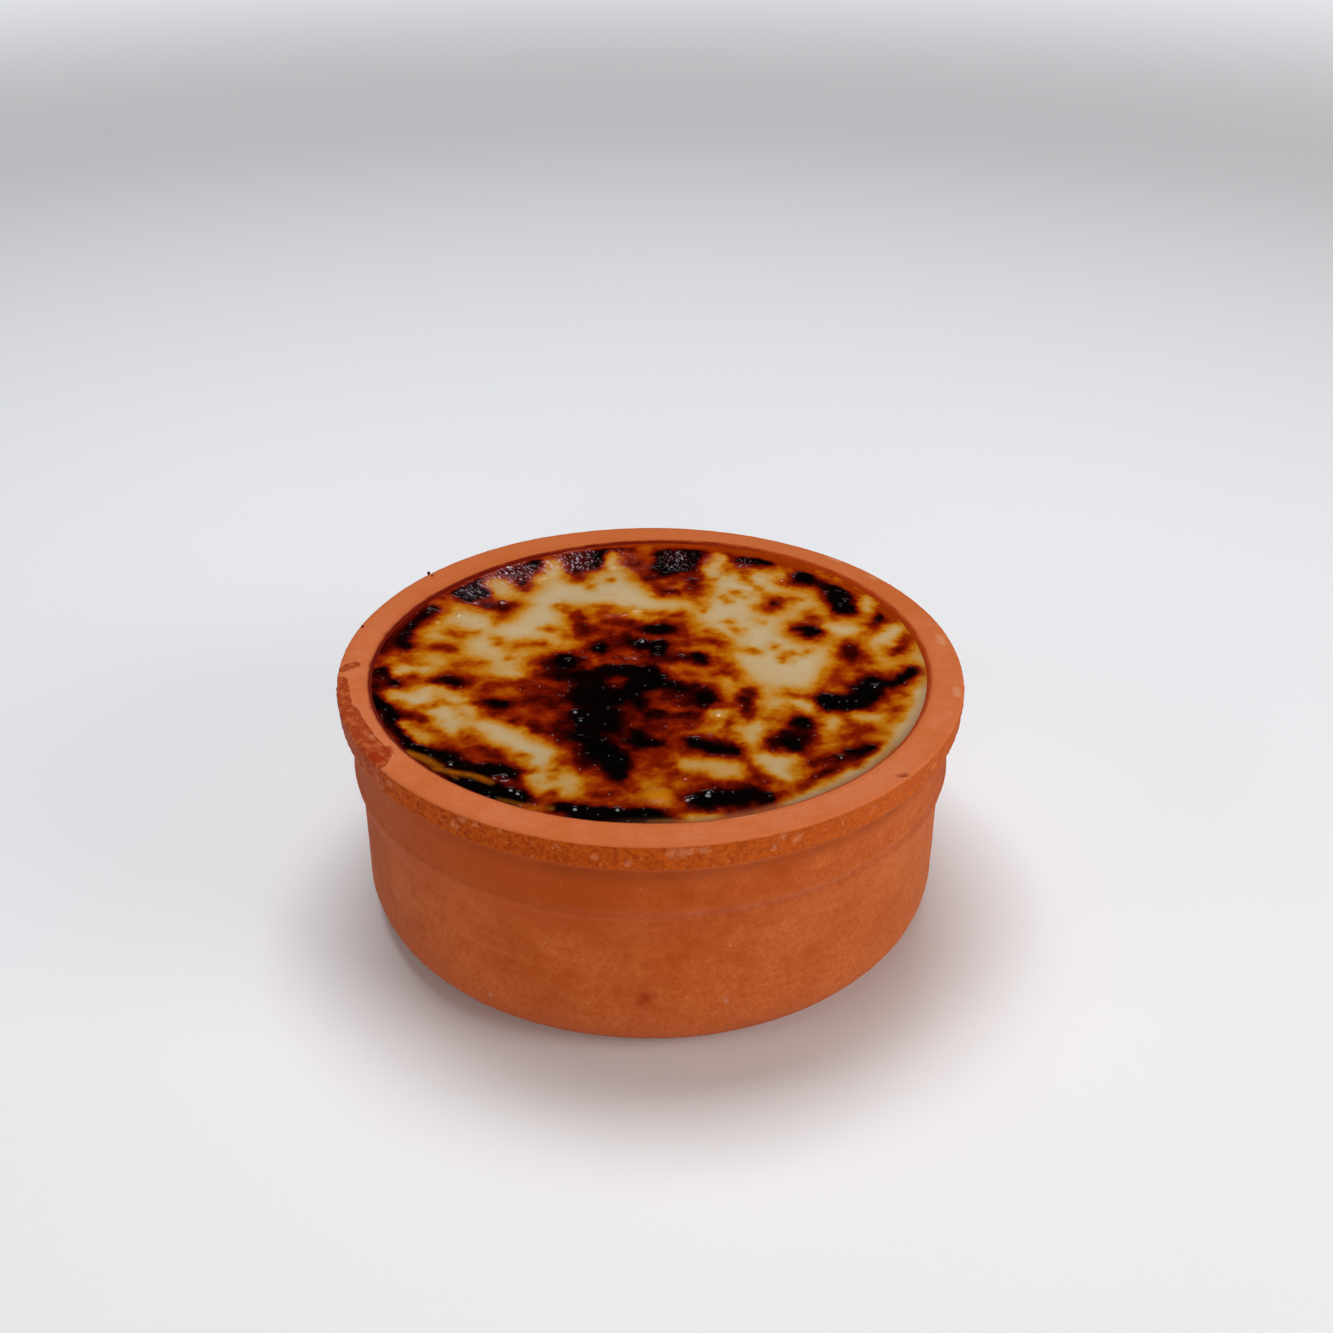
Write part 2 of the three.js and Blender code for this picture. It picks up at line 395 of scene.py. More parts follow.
def wearDish(dish, mesh):
    # the stains, dabs and chips of the clay as masks, with masks for the painted shade and highlight at the
    # crease, the ridge and under the band, and the unevenness of its surface
    places = meshPlaces(mesh)
    normals = np.empty(len(places) * 3)
    mesh.vertices.foreach_get("normal", normals)
    normals = normals.reshape(-1, 3)
    x, y, z = places.T
    radius = np.hypot(x, y)
    angle = np.arctan2(y, x)

    # which part of the dish each place is on, softly
    bandFoot = dish["height"] - dish["bandHeight"]
    outside = smooth(52, 54, radius)
    band = smooth(bandFoot - 0.3, bandFoot + 0.5, z) * smooth(58.6, 59.3, radius) * (1 - smooth(48.7, 49.3, z))
    face = smooth(48.8, 49.35, z) * smooth(53.2, 54.2, radius)
    reach = 53.4 + 0.2 * smooth(0.4, 0.9, -np.cos(angle)) + 0.2 * cloud(places, 3, 2, 23)
    inner = (1 - smooth(reach, reach + 0.5, radius)) * smooth(38, 42, z)
    wall = outside * (1 - smooth(bandFoot - 0.6, bandFoot + 0.2, z))
    warpX = x + 0.35 * cloud(places, 3, 2, 11)
    warpY = y + 0.35 * cloud(places, 3, 2, 12)
    rimTop = smooth(44, 46, z)
    recess = smooth(bandFoot - 5.4, bandFoot - 2.2, z) * (1 - smooth(bandFoot - 1.8, bandFoot - 1, z)) * wall

    def patches(marks, halo):
        cover = np.zeros(len(places))
        for width, *line in marks:
            away = distanceTo(line, warpX, warpY)
            cover = np.maximum(cover, 1 - smooth(width - 0.3, width + halo, away))
        return cover * rimTop

    oil = patches(dish["oilStains"], 0.5)
    red = patches(dish["redStains"], 0.6)
    dabs = patches(dish["paleDabs"], 0.7) * face
    ragged = places + 0.5 * np.column_stack([cloud(places, 1.6, 2, seed) for seed in (13, 14, 15)])
    bloom = np.max([onWall(ragged, *patch) for patch in dish["blooms"]], axis=0) * np.maximum(band, 0)
    dark = np.max([share * onWall(ragged, *patch) for *patch, share in dish["wallDabs"]], axis=0) * wall
    chipX, chipY, chipRadius, chipDepth = dish["chip"]
    chip = (1 - smooth(0.2 * chipRadius, chipRadius, np.hypot(x - chipX, (y - chipY) * 1.3))) * rimTop
    pale = np.max([share * onWall(ragged, *patch) for *patch, share in dish["specks"]], axis=0)

    # where the neck meets the ridge: a shallow crease at the right and the back, with painted shade in it, and
    # elsewhere a raised edge with a painted highlight
    lineWidth, lineDrop = 0.6, 0.9
    creaseHeight = dish["ridgeHeight"] + lineDrop + 0.25 * cloud(places * (0.1, 0.1, 0), 3, 2, 21)
    rightward = np.cos(angle - math.radians(dish["creaseTowards"]))
    creased = smooth(-0.7, 0.6, rightward + 0.3 * cloud(places * (1, 1, 0), 18, 2, 22))
    crease = np.exp(-((z - creaseHeight) / lineWidth) ** 2) * creased * wall
    ridge = np.exp(-((z - creaseHeight + lineDrop) / lineWidth) ** 2) * (1 - 0.8 * creased) * wall

    # how far each place stands out of the true turned shape
    turned = np.column_stack([20 * np.cos(angle), 20 * np.sin(angle), z * 4])
    rise = dish["throwingRings"] * cloud(turned, 6.0, 3, 16) * wall
    rise += dish["wallUnevenness"] * cloud(places, 24, 2, 17) * outside
    rise += dish["wallGrain"] * cloud(places, 3.5, 3, 18) * outside
    rise += dish["bandGrain"] * cloud(places, 1.25, 3, 19) * band
    rise -= dish["bandPits"] * smooth(0.30, 0.6, cloud(places, 1.5, 2, 20)) * band
    rise -= chipDepth * chip
    rise += (
        dish["dabHeight"] * dark - dish["creaseDepth"] * crease
        + dish["ridgeEdge"] * ridge - dish["recessDepth"] * recess
    )
    places += normals * rise[:, None]
    places[:, :2] *= mouthGrowth(dish, x, y, z)[:, None]
    places[:, 2] = np.where(z < 0.01, 0, places[:, 2])
    setMeshPlaces(mesh, places)
    for name, values in {
        "face": face, "band": band, "inner": inner, "wall": wall, "oil": oil, "red": red, "dabs": dabs,
        "bloom": bloom, "dark": dark, "chip": chip, "crease": crease, "ridge": ridge, "recess": recess,
        "pale": pale,
    }.items():
        setMask(mesh, name, values)


def clayFinish(dish):
    clay = Finish(bpy.data.materials.new("unglazed_terracotta"))
    tone = {name: colour(*shade, dish["light"]) for name, shade in dish["colours"].items()}

    def laid(name, share, under):
        return clay.blend(share, under, tone[name])

    broad = clay.grain(14, 3, 0.55)
    middle = clay.grain(3.2, 4, 0.6)
    fine = clay.grain(0.55, 3, 0.65)
    x, y, z = (clay.add("ShaderNodeSeparateXYZ", sockets={0: clay.place}, output=axis) for axis in "XYZ")

    # the wall: mottled by the fire, with faint rings from the wheel, and painted paler near the foot as light
    # bounced up from the floor
    ringPlace = clay.add("ShaderNodeMapping", sockets={"Vector": clay.place, "Scale": (0.05, 0.05, 1.0)})
    rings = clay.grain(1.4, 3, 0.6, place=ringPlace)
    mottle = broad * 0.5 + middle * 0.35 + rings * 0.15
    wall = clay.blend(clay.step(0.28, 0.66, mottle), tone["wallDark"], tone["wall"])
    smudges = clay.step(0.54, 0.68, clay.grain(3.4, 4, 0.7)) * clay.step(3, 24, z, 1.0, 0.35)
    wall = laid("wallWarm", smudges * 0.35, wall)
    # painted bounce light: the wall paler and pinker near the foot
    wall = laid("pinkPaintedLight", clay.step(16, 1, z + (broad - 0.5) * 16) * 0.6, wall)
    # painted shade under the band, most at the left
    underBandShade = clay.step(20, 40, z + (middle - 0.5) * 8) * clay.step(-14, 18, x, 1.0, 0.0)
    underBandShade = underBandShade * clay.step(-60, -36, x, 0.3, 1.0)
    wall = laid("wallDark", underBandShade * 0.8, wall)
    # painted light: the wall paler towards the right, where the light falls
    rightward = clay.step(10, 58, x + (broad - 0.5) * 30)
    wall = laid("wallPaintedLight", rightward * clay.step(27, 33, z, 1.0, 0.1) * 0.6, wall)
    # painted reflection: the wall greyer towards the left
    wall = laid("wallPaintedReflection", clay.step(-25, -60, x) * 0.3, wall)
    # painted highlight along the ridge's raised edge
    wall = laid("pinkPaintedLight", clay.mask("ridge") * 0.3, wall)
    # painted shade in the crease over the ridge
    wall = laid("crease", clay.mask("crease") * 0.5, wall)
    # painted shadow in the hollow right under the band
    recess = clay.mask("recess") * clay.step(0.1, 0.7, middle) * clay.step(-50, -10, x, 0.5, 1.0)
    wall = laid("recess", recess * 0.55, wall)
    dots = clay.add("ShaderNodeTexVoronoi", sockets={"Vector": clay.place, "Scale": 1 / 3.2})
    darkDots = clay.step(0.07, 0.12, dots, 1.0, 0.0) * clay.step(0.45, 0.6, clay.grain(7, 2, 0.5))
    wall = laid("wallDark", darkDots * 0.4, wall)
    paleDots = clay.add("ShaderNodeTexVoronoi", sockets={"Vector": clay.place, "Scale": 1 / 5.3})
    wall = laid("salt", clay.step(0.03, 0.06, paleDots, 1.0, 0.0) * 0.25, wall)
    wall = laid("wallDark", clay.step(0.44, 0.62, clay.grain(1.1, 5, 0.8)) * 0.42, wall)
    wall = laid("dab", clay.mask("dark") * 0.75, wall)

    # the top face, rubbed smooth, lighter in part as a painted sheen of the light that the top catches, and
    # browner along its outer and inner edges
    away = clay.add("ShaderNodeVectorMath", {"operation": "LENGTH"}, {0: clay.place}, output="Value")
    face = clay.blend(clay.step(0.4, 0.66, broad * 0.6 + middle * 0.4), tone["face"], tone["faceWarm"])
    face = laid("faceEdge", clay.step(76.2, 77.6, away + (middle - 0.5) * 1.5) * 0.5, face)
    face = laid("faceEdge", clay.step(74, 73.2, away + (middle - 0.5) * 1.5) * 0.6, face)
    face = laid("faceWarm", clay.step(0.46, 0.62, clay.grain(1.7, 4, 0.7)) * 0.3, face)
    face = laid("faceBack", clay.step(-10, 50, y + (middle - 0.5) * 30) * 0.6, face)
    face = laid("salt", clay.step(0.56, 0.7, fine) * 0.12, face)
    # the rough band, painted paler towards the right where the light falls
    band = clay.blend(clay.step(0.34, 0.62, clay.grain(0.9, 3, 0.7)), tone["bandDark"], tone["band"])
    band = laid("salt", clay.step(0.66, 0.74, clay.grain(0.7, 2, 0.5)) * 0.35, band)
    band = laid("bandPaintedLight", clay.step(-20, 62, x) * 0.35, band)
    bloom = clay.step(0.35, 1.1, clay.mask("bloom") + (clay.grain(0.8, 4, 0.75) - 0.5) * 2.2)
    band = laid("salt", bloom * 0.22, band)
    skin = clay.blend(clay.step(0.3, 0.7, clay.mask("band") + (middle - 0.5) * 0.6), wall, band)
    skin = clay.blend(clay.step(0.2, 0.8, clay.mask("face")), skin, face)

    # oil soaked into the rim leaves a darker patch with a pale edge
    oil = clay.mask("oil") + (middle - 0.5) * 0.25
    soaked = clay.blend(clay.step(0.42, 0.62, clay.grain(1.5, 4, 0.68)), tone["oil"], tone["oilPale"])
    skin = clay.blend(clay.step(0.42, 0.62, oil), skin, soaked)
    tide = clay.step(0.16, 0.36, oil) * clay.step(0.4, 0.54, oil, 1.0, 0.0)
    skin = laid("salt", tide * 0.22, skin)
    skin = laid("red", clay.mask("red") * 0.9, skin)
    skin = laid("salt", clay.mask("dabs") * 0.4, skin)
    # painted shade: the chip's pit is painted dark
    skin = laid("chip", clay.mask("chip") * 0.9, skin)
    skin = laid("speck", clay.mask("pale"), skin)
    grit = clay.grain(0.32, 2, 0.6)
    skin = laid("wallDark", clay.step(0.3, 0.7, fine) * 0.16 + clay.step(0.5, 0.8, grit) * 0.3, skin)

    # inside the mouth the clay is stained by what was baked in it, most at the left and the back
    stained = clay.step(-40, 45, x, 1.0, 0.15)
    stained = clay.step(0.1, 0.6, stained + (middle - 0.5) * 0.5)
    inner = clay.blend(stained, tone["innerLight"], tone["innerDark"])
    skin = clay.blend(clay.mask("inner"), skin, inner)

    relief = grit * 0.25 + fine * 0.35 + middle * 0.3 + rings * 0.25
    bump = clay.add("ShaderNodeBump", sockets={"Strength": 0.35, "Distance": 0.00012, "Height": relief})
    return clay.finishWith({
        "Base Color": skin,
        "Roughness": 0.78 + (middle - 0.5) * 0.2 - clay.mask("oil") * 0.18,
        "Specular IOR Level": 0.05,
        "Sheen Weight": 0.02,
        "Sheen Roughness": 0.5,
        "Normal": bump,
    })


# The halva: one thick disc whose skin is scorched by a list of marks

halva = {
    "level": 48.6,
    "gap": 0.3,  # to the wall, below the mouth
    "intoWall": 0.3,  # at the mouth the skin reaches into the clay, so that no gap shows
    "gridSteps": 288,
    "waves": [(46, 0.16, 0.4), (31, 0.12, 1.9), (22, 0.1, 2.7)],  # length, height, angle
    "climb": 0.06,  # how far the skin climbs up the clay where it meets it
    "climbBack": 0.22,  # and how much further at the back left
    "climbTowards": 125,  # degrees
    "climbWidth": 1.8,
    "dishing": 0.5,  # how far the skin sags inside its edge at the back left
    "dishingTowards": 115,
    "crustRise": 0.16,
    "crustGrain": 0.06,
    "skinSwell": 0.10,
    "wrinkleHeight": 0.09,
    "wrinkleLength": 1.7,
    "wrinkledTowards": 114,
    "foldHeight": 0.16,
    "foldWidth": 0.8,
    "bubble": (1.2, -43.8, 4.4, 3.4, 0.45),  # x, y, half width, half depth, height
    # x, y and radius of small blisters
    "blisters": [
        (-16, 3, 0.9), (-13, 3.5, 0.7), (-3, 3.5, 0.8), (-1.5, 10.3, 0.9), (1.3, 7.2, 0.8), (1.5, 3.7, 0.7),
        (6, 3.5, 0.9), (2.4, -4.2, 0.8), (4, -0.5, 0.7), (-8.3, 43.2, 0.9), (-18.5, 37, 0.9), (-23.5, 37, 0.8),
        (-30.6, 27.2, 1.0), (-36, 27.3, 1.1), (-39, 21.5, 0.9), (-43, 18.7, 0.9), (-34, 17.8, 0.7),
        (-48.3, 17, 0.9), (30, 38, 0.9), (27.6, 36.3, 0.8), (25, 39, 0.8), (15.5, 38.5, 0.7), (7.8, 36.3, 0.8),
        (4, 32.5, 0.8), (8, 32, 0.7), (36.2, 30.5, 0.8), (39, 31, 0.7), (40, 27, 0.9), (38.7, 25, 0.8),
        (34.3, 18, 0.7), (31, 17.8, 0.7), (-49, -1.5, 0.8), (-47, -8, 0.7), (-23, -10.5, 0.7),
        (-26, -38.5, 1.3), (-24.3, -42.2, 0.9), (-23, -43.2, 0.8), (-35.5, -34, 0.8), (-13, -48, 0.8),
        (-5.7, -48, 0.8), (-8, -15, 0.8), (-14, -16, 0.8), (-13, -18.8, 0.8), (-12.7, -24.5, 0.7),
        (8.3, -25.7, 0.8), (10.8, -25, 0.8), (10, -43.3, 1.3), (6.2, -45, 0.9), (7.2, -44.5, 0.8),
        (6, -38.5, 0.7), (34, -31.8, 0.8), (24, -30.5, 0.7), (42.5, -7, 0.9), (38.6, -8.3, 0.8),
        (12.5, -17.2, 1.2), (14.8, -7.5, 0.8),
    ],
    "wetRidges": [
        [(-48, 15.2), (-47.2, 13.8), (-47, 12)], [(-40.2, 22.8), (-39.2, 22.4), (-38, 20.4)],
        [(-9.2, 20.1), (-7, 20.3), (-4.6, 21.3)], [(-3.6, 22.4), (-1.2, 22.8)], [(-3.4, 9), (-1.2, 10.4)],
        [(-24.6, 37.2), (-22, 38.4)], [(-5, 3), (-3, 3.8)], [(26, 40.4), (25.4, 37.8)],
        [(15.4, 40.4), (15, 37.8)], [(-31.6, 27.4), (-29.6, 27.2)], [(-44.4, 25.2), (-42.6, 23)],
        [(-27.6, -38.2), (-25.6, -38.9)], [(9, -42.8), (10.6, -43.6)], [(28.4, 37.4), (27, 35.6)],
    ],
    "wetRidgeHeight": 0.2,
    "wetRidgeWidth": 0.5,
    "blisterSize": 0.85,  # scales every blister
    "blisterHeight": 0.36,  # as a share of the radius
    # x, y, radius and strength of the places where the pale sheen of fine wrinkles is painted on the burnt skin
    "paintedSheens": [
        (-16, 45.4, 5, 1.0), (-21.5, 42.4, 3.4, 0.7), (-29, 39.6, 5, 1.0), (-37, 31.4, 3.2, 0.45),
        (-32.6, 35.2, 4, 0.8), (-44.4, 23.4, 2.4, 0.15), (-48.6, 12.6, 2.2, 0.1), (-5.6, 46.6, 3, 0.25),
        (-8, 44, 2.6, 0.35), (13.4, 46.4, 2.4, 0.35), (5.6, 46, 4.4, 0.5), (20, 45, 3, 0.35),
    ],
    # each mark below is its half width, then the places it runs through
    "char": [
        (0.5, (3.4, -7.6), (5, -8.4)), (0.1, (-2, -12.4), (-2, -13.4)), (0.2, (-2, -24), (-2.2, -25.4)),
        (0.7, (-17, 1.8), (-15, 1.6)),
        (1.4, (-45.2, 23.2), (-46, 21.4), (-47.8, 18), (-49.2, 13.5), (-49, 10), (-48.3, 8.6)),
        (1.9, (-39.3, 30.6), (-36.6, 32.5)), (1.4, (-37, 29.6), (-34.8, 31)), (0.7, (-36.4, 35.3), (-35.2, 37)),
        (2.0, (-29.5, 40), (-26.3, 41)), (1.0, (-28, 38.6), (-27, 36.6)), (1.1, (-24.3, 44.2),),
        (2.1, (-16.5, 46), (-13.5, 46.6)), (1.8, (-15.6, 43.6), (-13.6, 43.6)),
        (1.0, (-11.6, 47.4), (-10.3, 48.4)), (2.4, (3, 48.4), (5, 48.2), (9, 49)),
        (2.2, (3, 44.4), (6.6, 44.8)), (1.5, (4.6, 42.2), (3.6, 40.6)),
        (0.8, (19.6, 45.4), (22.4, 45), (24, 44.6)), (0.9, (32, 39), (32.1, 37)),
        (2.3, (38.4, 31.2), (39.2, 27), (39.4, 23.4)), (1.3, (31.2, 15.2), (31.8, 13.4)), (1.4, (-16.8, 3.3),),
        (1.3, (-9.8, 7.4),), (1.3, (0.6, 15.2), (3, 14.9)), (1.5, (1.5, 8.8), (1.2, 5.6)),
        (1.4, (-2.6, 9.4), (-1.6, 8)), (0.8, (9.4, 3),), (3.2, (-12.6, -3.4), (-11.2, -6), (-12, -8.6)),
        (2.7, (-4, -1.8), (-1.6, -4.2), (-2.6, -7)), (2.2, (-8, -1.2),), (2.4, (-8.4, -10), (-4.6, -10.2)),
        (1.9, (0, -2), (1.6, -4), (0.3, -6)), (3.3, (-12, -17.4), (-9, -17.6)),
        (2.9, (-11.4, -21.2), (-8.2, -21)), (1.8, (-12.6, -24.6), (-10, -26)),
        (1.9, (-8.8, -30.5), (-7.5, -33), (-6.5, -35.5), (-5.7, -37.2)), (1.1, (-1.2, -27.4), (0.8, -27.4)),
        (1.0, (-28.8, -13.7), (-27.7, -14.1)), (1.5, (9.6, -11.2), (10.4, -12)), (0.8, (8.2, -27.2), (10, -28)),
        (1.3, (11.2, -29.2), (14.4, -30)), (1.0, (24.8, -27), (25.6, -28.4)),
        (0.8, (27.6, -19.8), (28.6, -20.4)), (1.3, (-13.4, -12.4), (-7, -13)),
        (1.5, (34.4, -14.4), (38.4, -14.4)), (2.4, (34, -12.7), (37, -12.8), (40.4, -11.6)),
        (1.9, (42, -9), (42.4, -5.4)), (0.9, (33, -12),), (0.8, (45, -6.4), (47.8, -4.4), (50.3, -2)),
        (1.3, (39.6, -8),), (0.4, (39.6, -29), (36, -30.2)),
        (1.6, (8.2, -45.3), (13, -44), (18, -43.3), (20.6, -44.4)), (1.3, (10.4, -46.4), (15, -45.4)),
        (0.5, (-51.4, -1.4), (-49.6, -4.4), (-48.2, -7)),
        (0.6, (-50.8, -12.2), (-48, -18), (-45.4, -23), (-43, -27.6), (-39.8, -30.6), (-36, -32.4)),
        (1.4, (-34, -34.6), (-31, -35.6), (-29, -35.9)), (1.0, (-27, -36.4), (-25.2, -38)),
        (1.4, (-31, -40.6), (-27, -42.5), (-22.6, -44.4)),
        (1.2, (-15.4, -47.6), (-10, -48.8), (-5, -49.2), (0, -49.4)), (1.6, (-9, -29), (-6, -33)),
        (1.0, (-33.6, -40.2), (-29.4, -43.2), (-24, -45.6)), (0.9, (-12, -50.2), (-5, -51), (0, -51)),
    ],
    "dark": [
        (0.7, (-10, 50.4), (-4.6, 50.8)), (0.6, (19, -46), (22, -45.4)), (1.1, (5.4, 42.8), (7, 42)),
        (0.6, (5.4, 2.6), (7, 1.8)), (0.6, (5, 45.6), (7.4, 46)), (1.0, (-39, -6.4), (-37.6, -7.2)),
        (0.7, (-53, 6), (-52, 12), (-50.4, 17)), (0.8, (-53, -2), (-52.4, -7)),
        (0.6, (-52.4, -9), (-50.8, -13.6)), (0.8, (-8, 17.6), (-5, 16.6)), (1.0, (26, -29), (27, -30)),
        (1.2, (29, -33.4), (33, -32.6)), (1.5, (0, -17.4), (8, -17.6)), (0.5, (17.6, -12), (18, -16)),
        (1.8, (26.2, -28.4), (27.6, -26)), (1.0, (8.6, -7), (11, -8)), (0.9, (1, 1.4), (4, 1.8)),
        (2.0, (-20, 0.8), (-17.6, -3)), (1.6, (-40, -5.4), (-37.6, -6.2)), (1.6, (-22.6, -13.4), (-20, -15)),
        (2.0, (-21.4, -20.6), (-18, -22.6)), (2.4, (-12.6, -29.6), (-11.6, -34.6)),
        (0.6, (1, 33.4), (2.8, 31), (5.4, 30.4)), (1.0, (9, 37), (9, 32.4)), (1.2, (25.6, 26.2),),
        (2.0, (39, 6.6), (39, 3.6)), (1.1, (49.6, 9.6), (48.4, 6.2)), (1.6, (3, -11), (6, -13)),
        (1.3, (27.3, -21), (25.5, -24)), (1.0, (31, -36.8), (28.6, -38.4)),
        (1.0, (-42, -33.4), (-36.5, -39), (-31, -43.4), (-25.5, -46.8)),
        (0.9, (-12, -51.2), (-4, -52), (3, -51.8)),
        (
            0.9, (-53.2, 2), (-52.8, 9), (-51.2, 15), (-49, 21), (-46, 27), (-42.5, 32), (-38, 37),
            (-33, 41), (-28, 44.5),
        ),
        (1.1, (-52, 5.6), (-51.6, 10)), (1.2, (-36.6, 27.8), (-33, 25.6), (-30, 24.7), (-28, 26)),
        (0.4, (-26.4, 33),), (1.6, (-33, 26), (-30, 25.4)), (1.1, (-31, 41.6), (-27, 44.4), (-23, 46)),
        (0.8, (-15.6, 41), (-15.2, 39)), (0.9, (-12, 43.6), (-10.6, 44.6)),
        (1.0, (-19, 47.6), (-14, 49.8), (-8, 51.4)), (1.1, (-3.4, 45), (-2.6, 41), (-1, 37.6)),
        (1.6, (0.5, 42), (1, 38.6)), (1.4, (9.2, 45), (9.4, 41), (9, 37.6)), (0.9, (3.2, 30.4), (5, 30.8)),
        (1.2, (18, 47), (21, 46.4), (25, 44.4), (28, 43.4)), (1.7, (31.4, 38.4), (32.6, 36), (30.8, 36.6)),
        (1.2, (33.6, 37), (36, 35.2)), (1.2, (36.6, 33.4), (40, 32.4), (41.6, 30)),
        (0.8, (37.6, 28), (38, 24), (39.2, 21.4)), (0.9, (41.6, 27), (41.2, 23.4)),
        (0.5, (46.9, 20.6), (45, 17.4)), (0.5, (47.2, 21.4), (46.2, 19)),
        (1.3, (26.8, 27.8), (25.4, 26), (24.4, 24.4)), (1.2, (33.4, 35.6), (36.6, 33.4)),
        (0.9, (29, 15.6), (31.2, 16.8), (32, 14.4), (31.8, 11.8)), (1.4, (39, 6), (39, 5)),
        (0.4, (11.8, 9.8), (13.4, 8.8)), (1.4, (6.6, 3.6), (10.4, 3)), (1.6, (-2, 15.4), (6.2, 14.6)),
        (0.8, (-14.4, 19.6), (-13.9, 13.6)), (1.3, (-12, 8.6), (-5.6, 9.6)), (1.8, (-3.6, 11.4),),
        (0.9, (3.2, 8),), (0.5, (-41.8, 7.9), (-40, 7)), (1.2, (-45.6, -3.4),),
        (0.8, (-44.4, -17.6), (-42.6, -18.9)), (1.3, (-40, -5.6), (-37, -6.6), (-35.6, -5.4)),
        (1.1, (-31, -7.3), (-27, -6.8), (-24.6, -6.8)), (1.2, (-23.4, -8.8), (-22.2, -6.8)),
        (1.3, (-30.4, -13.4), (-26.8, -14.4)), (1.4, (-21.4, -12), (-18.6, -12.6)), (0.8, (-24.8, -19),),
        (1.2, (-21, -22), (-19, -22.4), (-18, -20)), (2.4, (-10.4, -31), (-5, -31)),
        (2.0, (-3, -15), (-2.4, -21), (-4, -25)), (1.0, (-3.2, -41.4), (-2, -41)),
        (0.9, (-9.8, -43.7), (-7.6, -43.4)), (1.6, (3, -7.2), (6, -8)),
        (1.9, (8, -8.4), (10, -9.4), (10.8, -12), (9.6, -13.6)), (0.5, (12.4, -2.8), (14.4, -2)),
        (0.6, (19, -8.4), (18.6, -9.4)), (1.1, (17.6, -12), (17.6, -15), (18, -18)),
        (1.1, (0, -17), (8.4, -17.2)), (1.0, (1, -21), (2.8, -22.6)), (0.8, (1.2, -33.6), (2.8, -34.4)),
        (1.7, (8, -26.8), (12, -27.6), (14.2, -28.8), (14.4, -30.4)), (1.1, (26.6, -19.6), (29.4, -19.9)),
        (2.2, (23.2, -25), (27, -24.6), (28.4, -23)), (1.1, (22.6, -28),), (1.3, (39.6, -21.8), (35.8, -25)),
        (0.9, (41.4, -28.2), (38, -30.8), (34.4, -33.2)), (1.0, (31.4, -31.2), (28.2, -33.4)),
        (1.5, (-16.6, -1), (-16.2, -6), (-16, -11)), (1.4, (-16, -17), (-16.2, -25)),
        (1.0, (-5.6, -17), (-6, -24)), (1.0, (-5, 3.4), (0, 3), (3.6, 3.4)), (0.9, (-40, -7), (-37.4, -7.6)),
        (0.6, (31.2, -36.9),), (1.0, (18.2, -38.2), (19.8, -39)), (1.3, (3.8, -37.6), (6.8, -38.4)),
        (1.0, (8, -41.8), (12, -40.8), (17, -40.6)), (0.8, (-53, -3), (-52.2, -7)),
        (0.8, (-50.6, -14), (-47.6, -20), (-44.6, -25), (-41.6, -28.6), (-36.6, -31.4)),
        (0.9, (-30.6, -29.4), (-27.6, -31.6)), (1.0, (-24.6, -36.6), (-23.4, -39.4), (-22.6, -42)),
        (0.3, (2, -40.6), (4.6, -42.6), (6.4, -46.6)), (0.6, (-2, -50.6), (3, -50.2)),
        (0.6, (47.6, -4.8), (50.4, -1.8)),
    ],
    "brown": [
        (1.0, (12.4, 50.4), (16, 49.6)), (0.5, (-50.6, -8.6), (-49.6, -11)), (0.4, (14, -1.4), (15, -3)),
        (0.7, (37, -5.2), (38.4, -6.6)), (0.7, (29.4, 35.6), (31, 34)),
        (0.9, (-6, 52.8), (0, 53.4), (8, 53), (14, 51.8)), (0.8, (13.4, -14.8), (15, -13.4)),
        (0.6, (-2.6, -42.4), (-1, -41.4)), (0.8, (13.4, -50.2), (17, -49.2)), (0.6, (10, 46.6), (10.4, 45)),
        (0.6, (30.4, -41.6), (32.6, -40)), (0.7, (-35, -14.6), (-33, -14.2)), (0.7, (22.6, -30), (25, -31)),
        (0.5, (33, -22.6), (35, -22)), (1.0, (-6.4, 48), (-5.4, 44.6)), (0.7, (5.6, 42.6), (7, 41.6)),
        (0.8, (-38.6, -5.6), (-36, -6)), (0.9, (-16, -32), (-14.6, -33.4)),
        (0.3, (49.8, 18.6), (47.8, 24.2), (44.8, 29.2)), (0.6, (41, -32), (43.6, -29)),
        (1.2, (-29, -3.4), (-25, -4.6)), (1.6, (-3.6, 49), (-3.2, 45)), (0.7, (-1, -48.4), (5, -47.8)),
        (1.2, (34, -35), (38, -33)), (0.9, (1, -47.4), (4, -46.8)), (1.0, (-30.4, -17.4),),
        (0.8, (12, 51), (16, 50)), (0.8, (-10, 51.4), (-5, 51.8)), (1.4, (9.6, -18.8), (8, -20)),
        (1.2, (3, -21), (7, -21.6)), (0.8, (8, -49.2), (14, -48.4), (20, -46.6)), (0.4, (2, -51.4), (5, -51)),
        (1.8, (-31.4, -9.6), (-32.6, -12.6)), (1.4, (-16.6, -25.6), (-14.6, -28)),
        (1.2, (-47, -20), (-45.6, -24.4)), (1.0, (-21.6, -43.6), (-19.6, -45)), (1.2, (-22, -3), (-17, -2)),
        (1.3, (5, 11), (8, 11.6)), (1.3, (41, -1.6), (43.6, -2.6)), (1.2, (47.2, 23.6), (46.2, 20)),
        (0.6, (42.4, 2.4), (41.6, 4)), (0.9, (-12.5, 15), (-8, 14)), (1.4, (-10, 10.6), (-5.6, 12)),
        (0.5, (4.4, 20.6), (6.6, 21)), (0.9, (-30, 23.6), (-29.2, 22), (-30.4, 20.6)), (0.8, (-14.9, 38.2),),
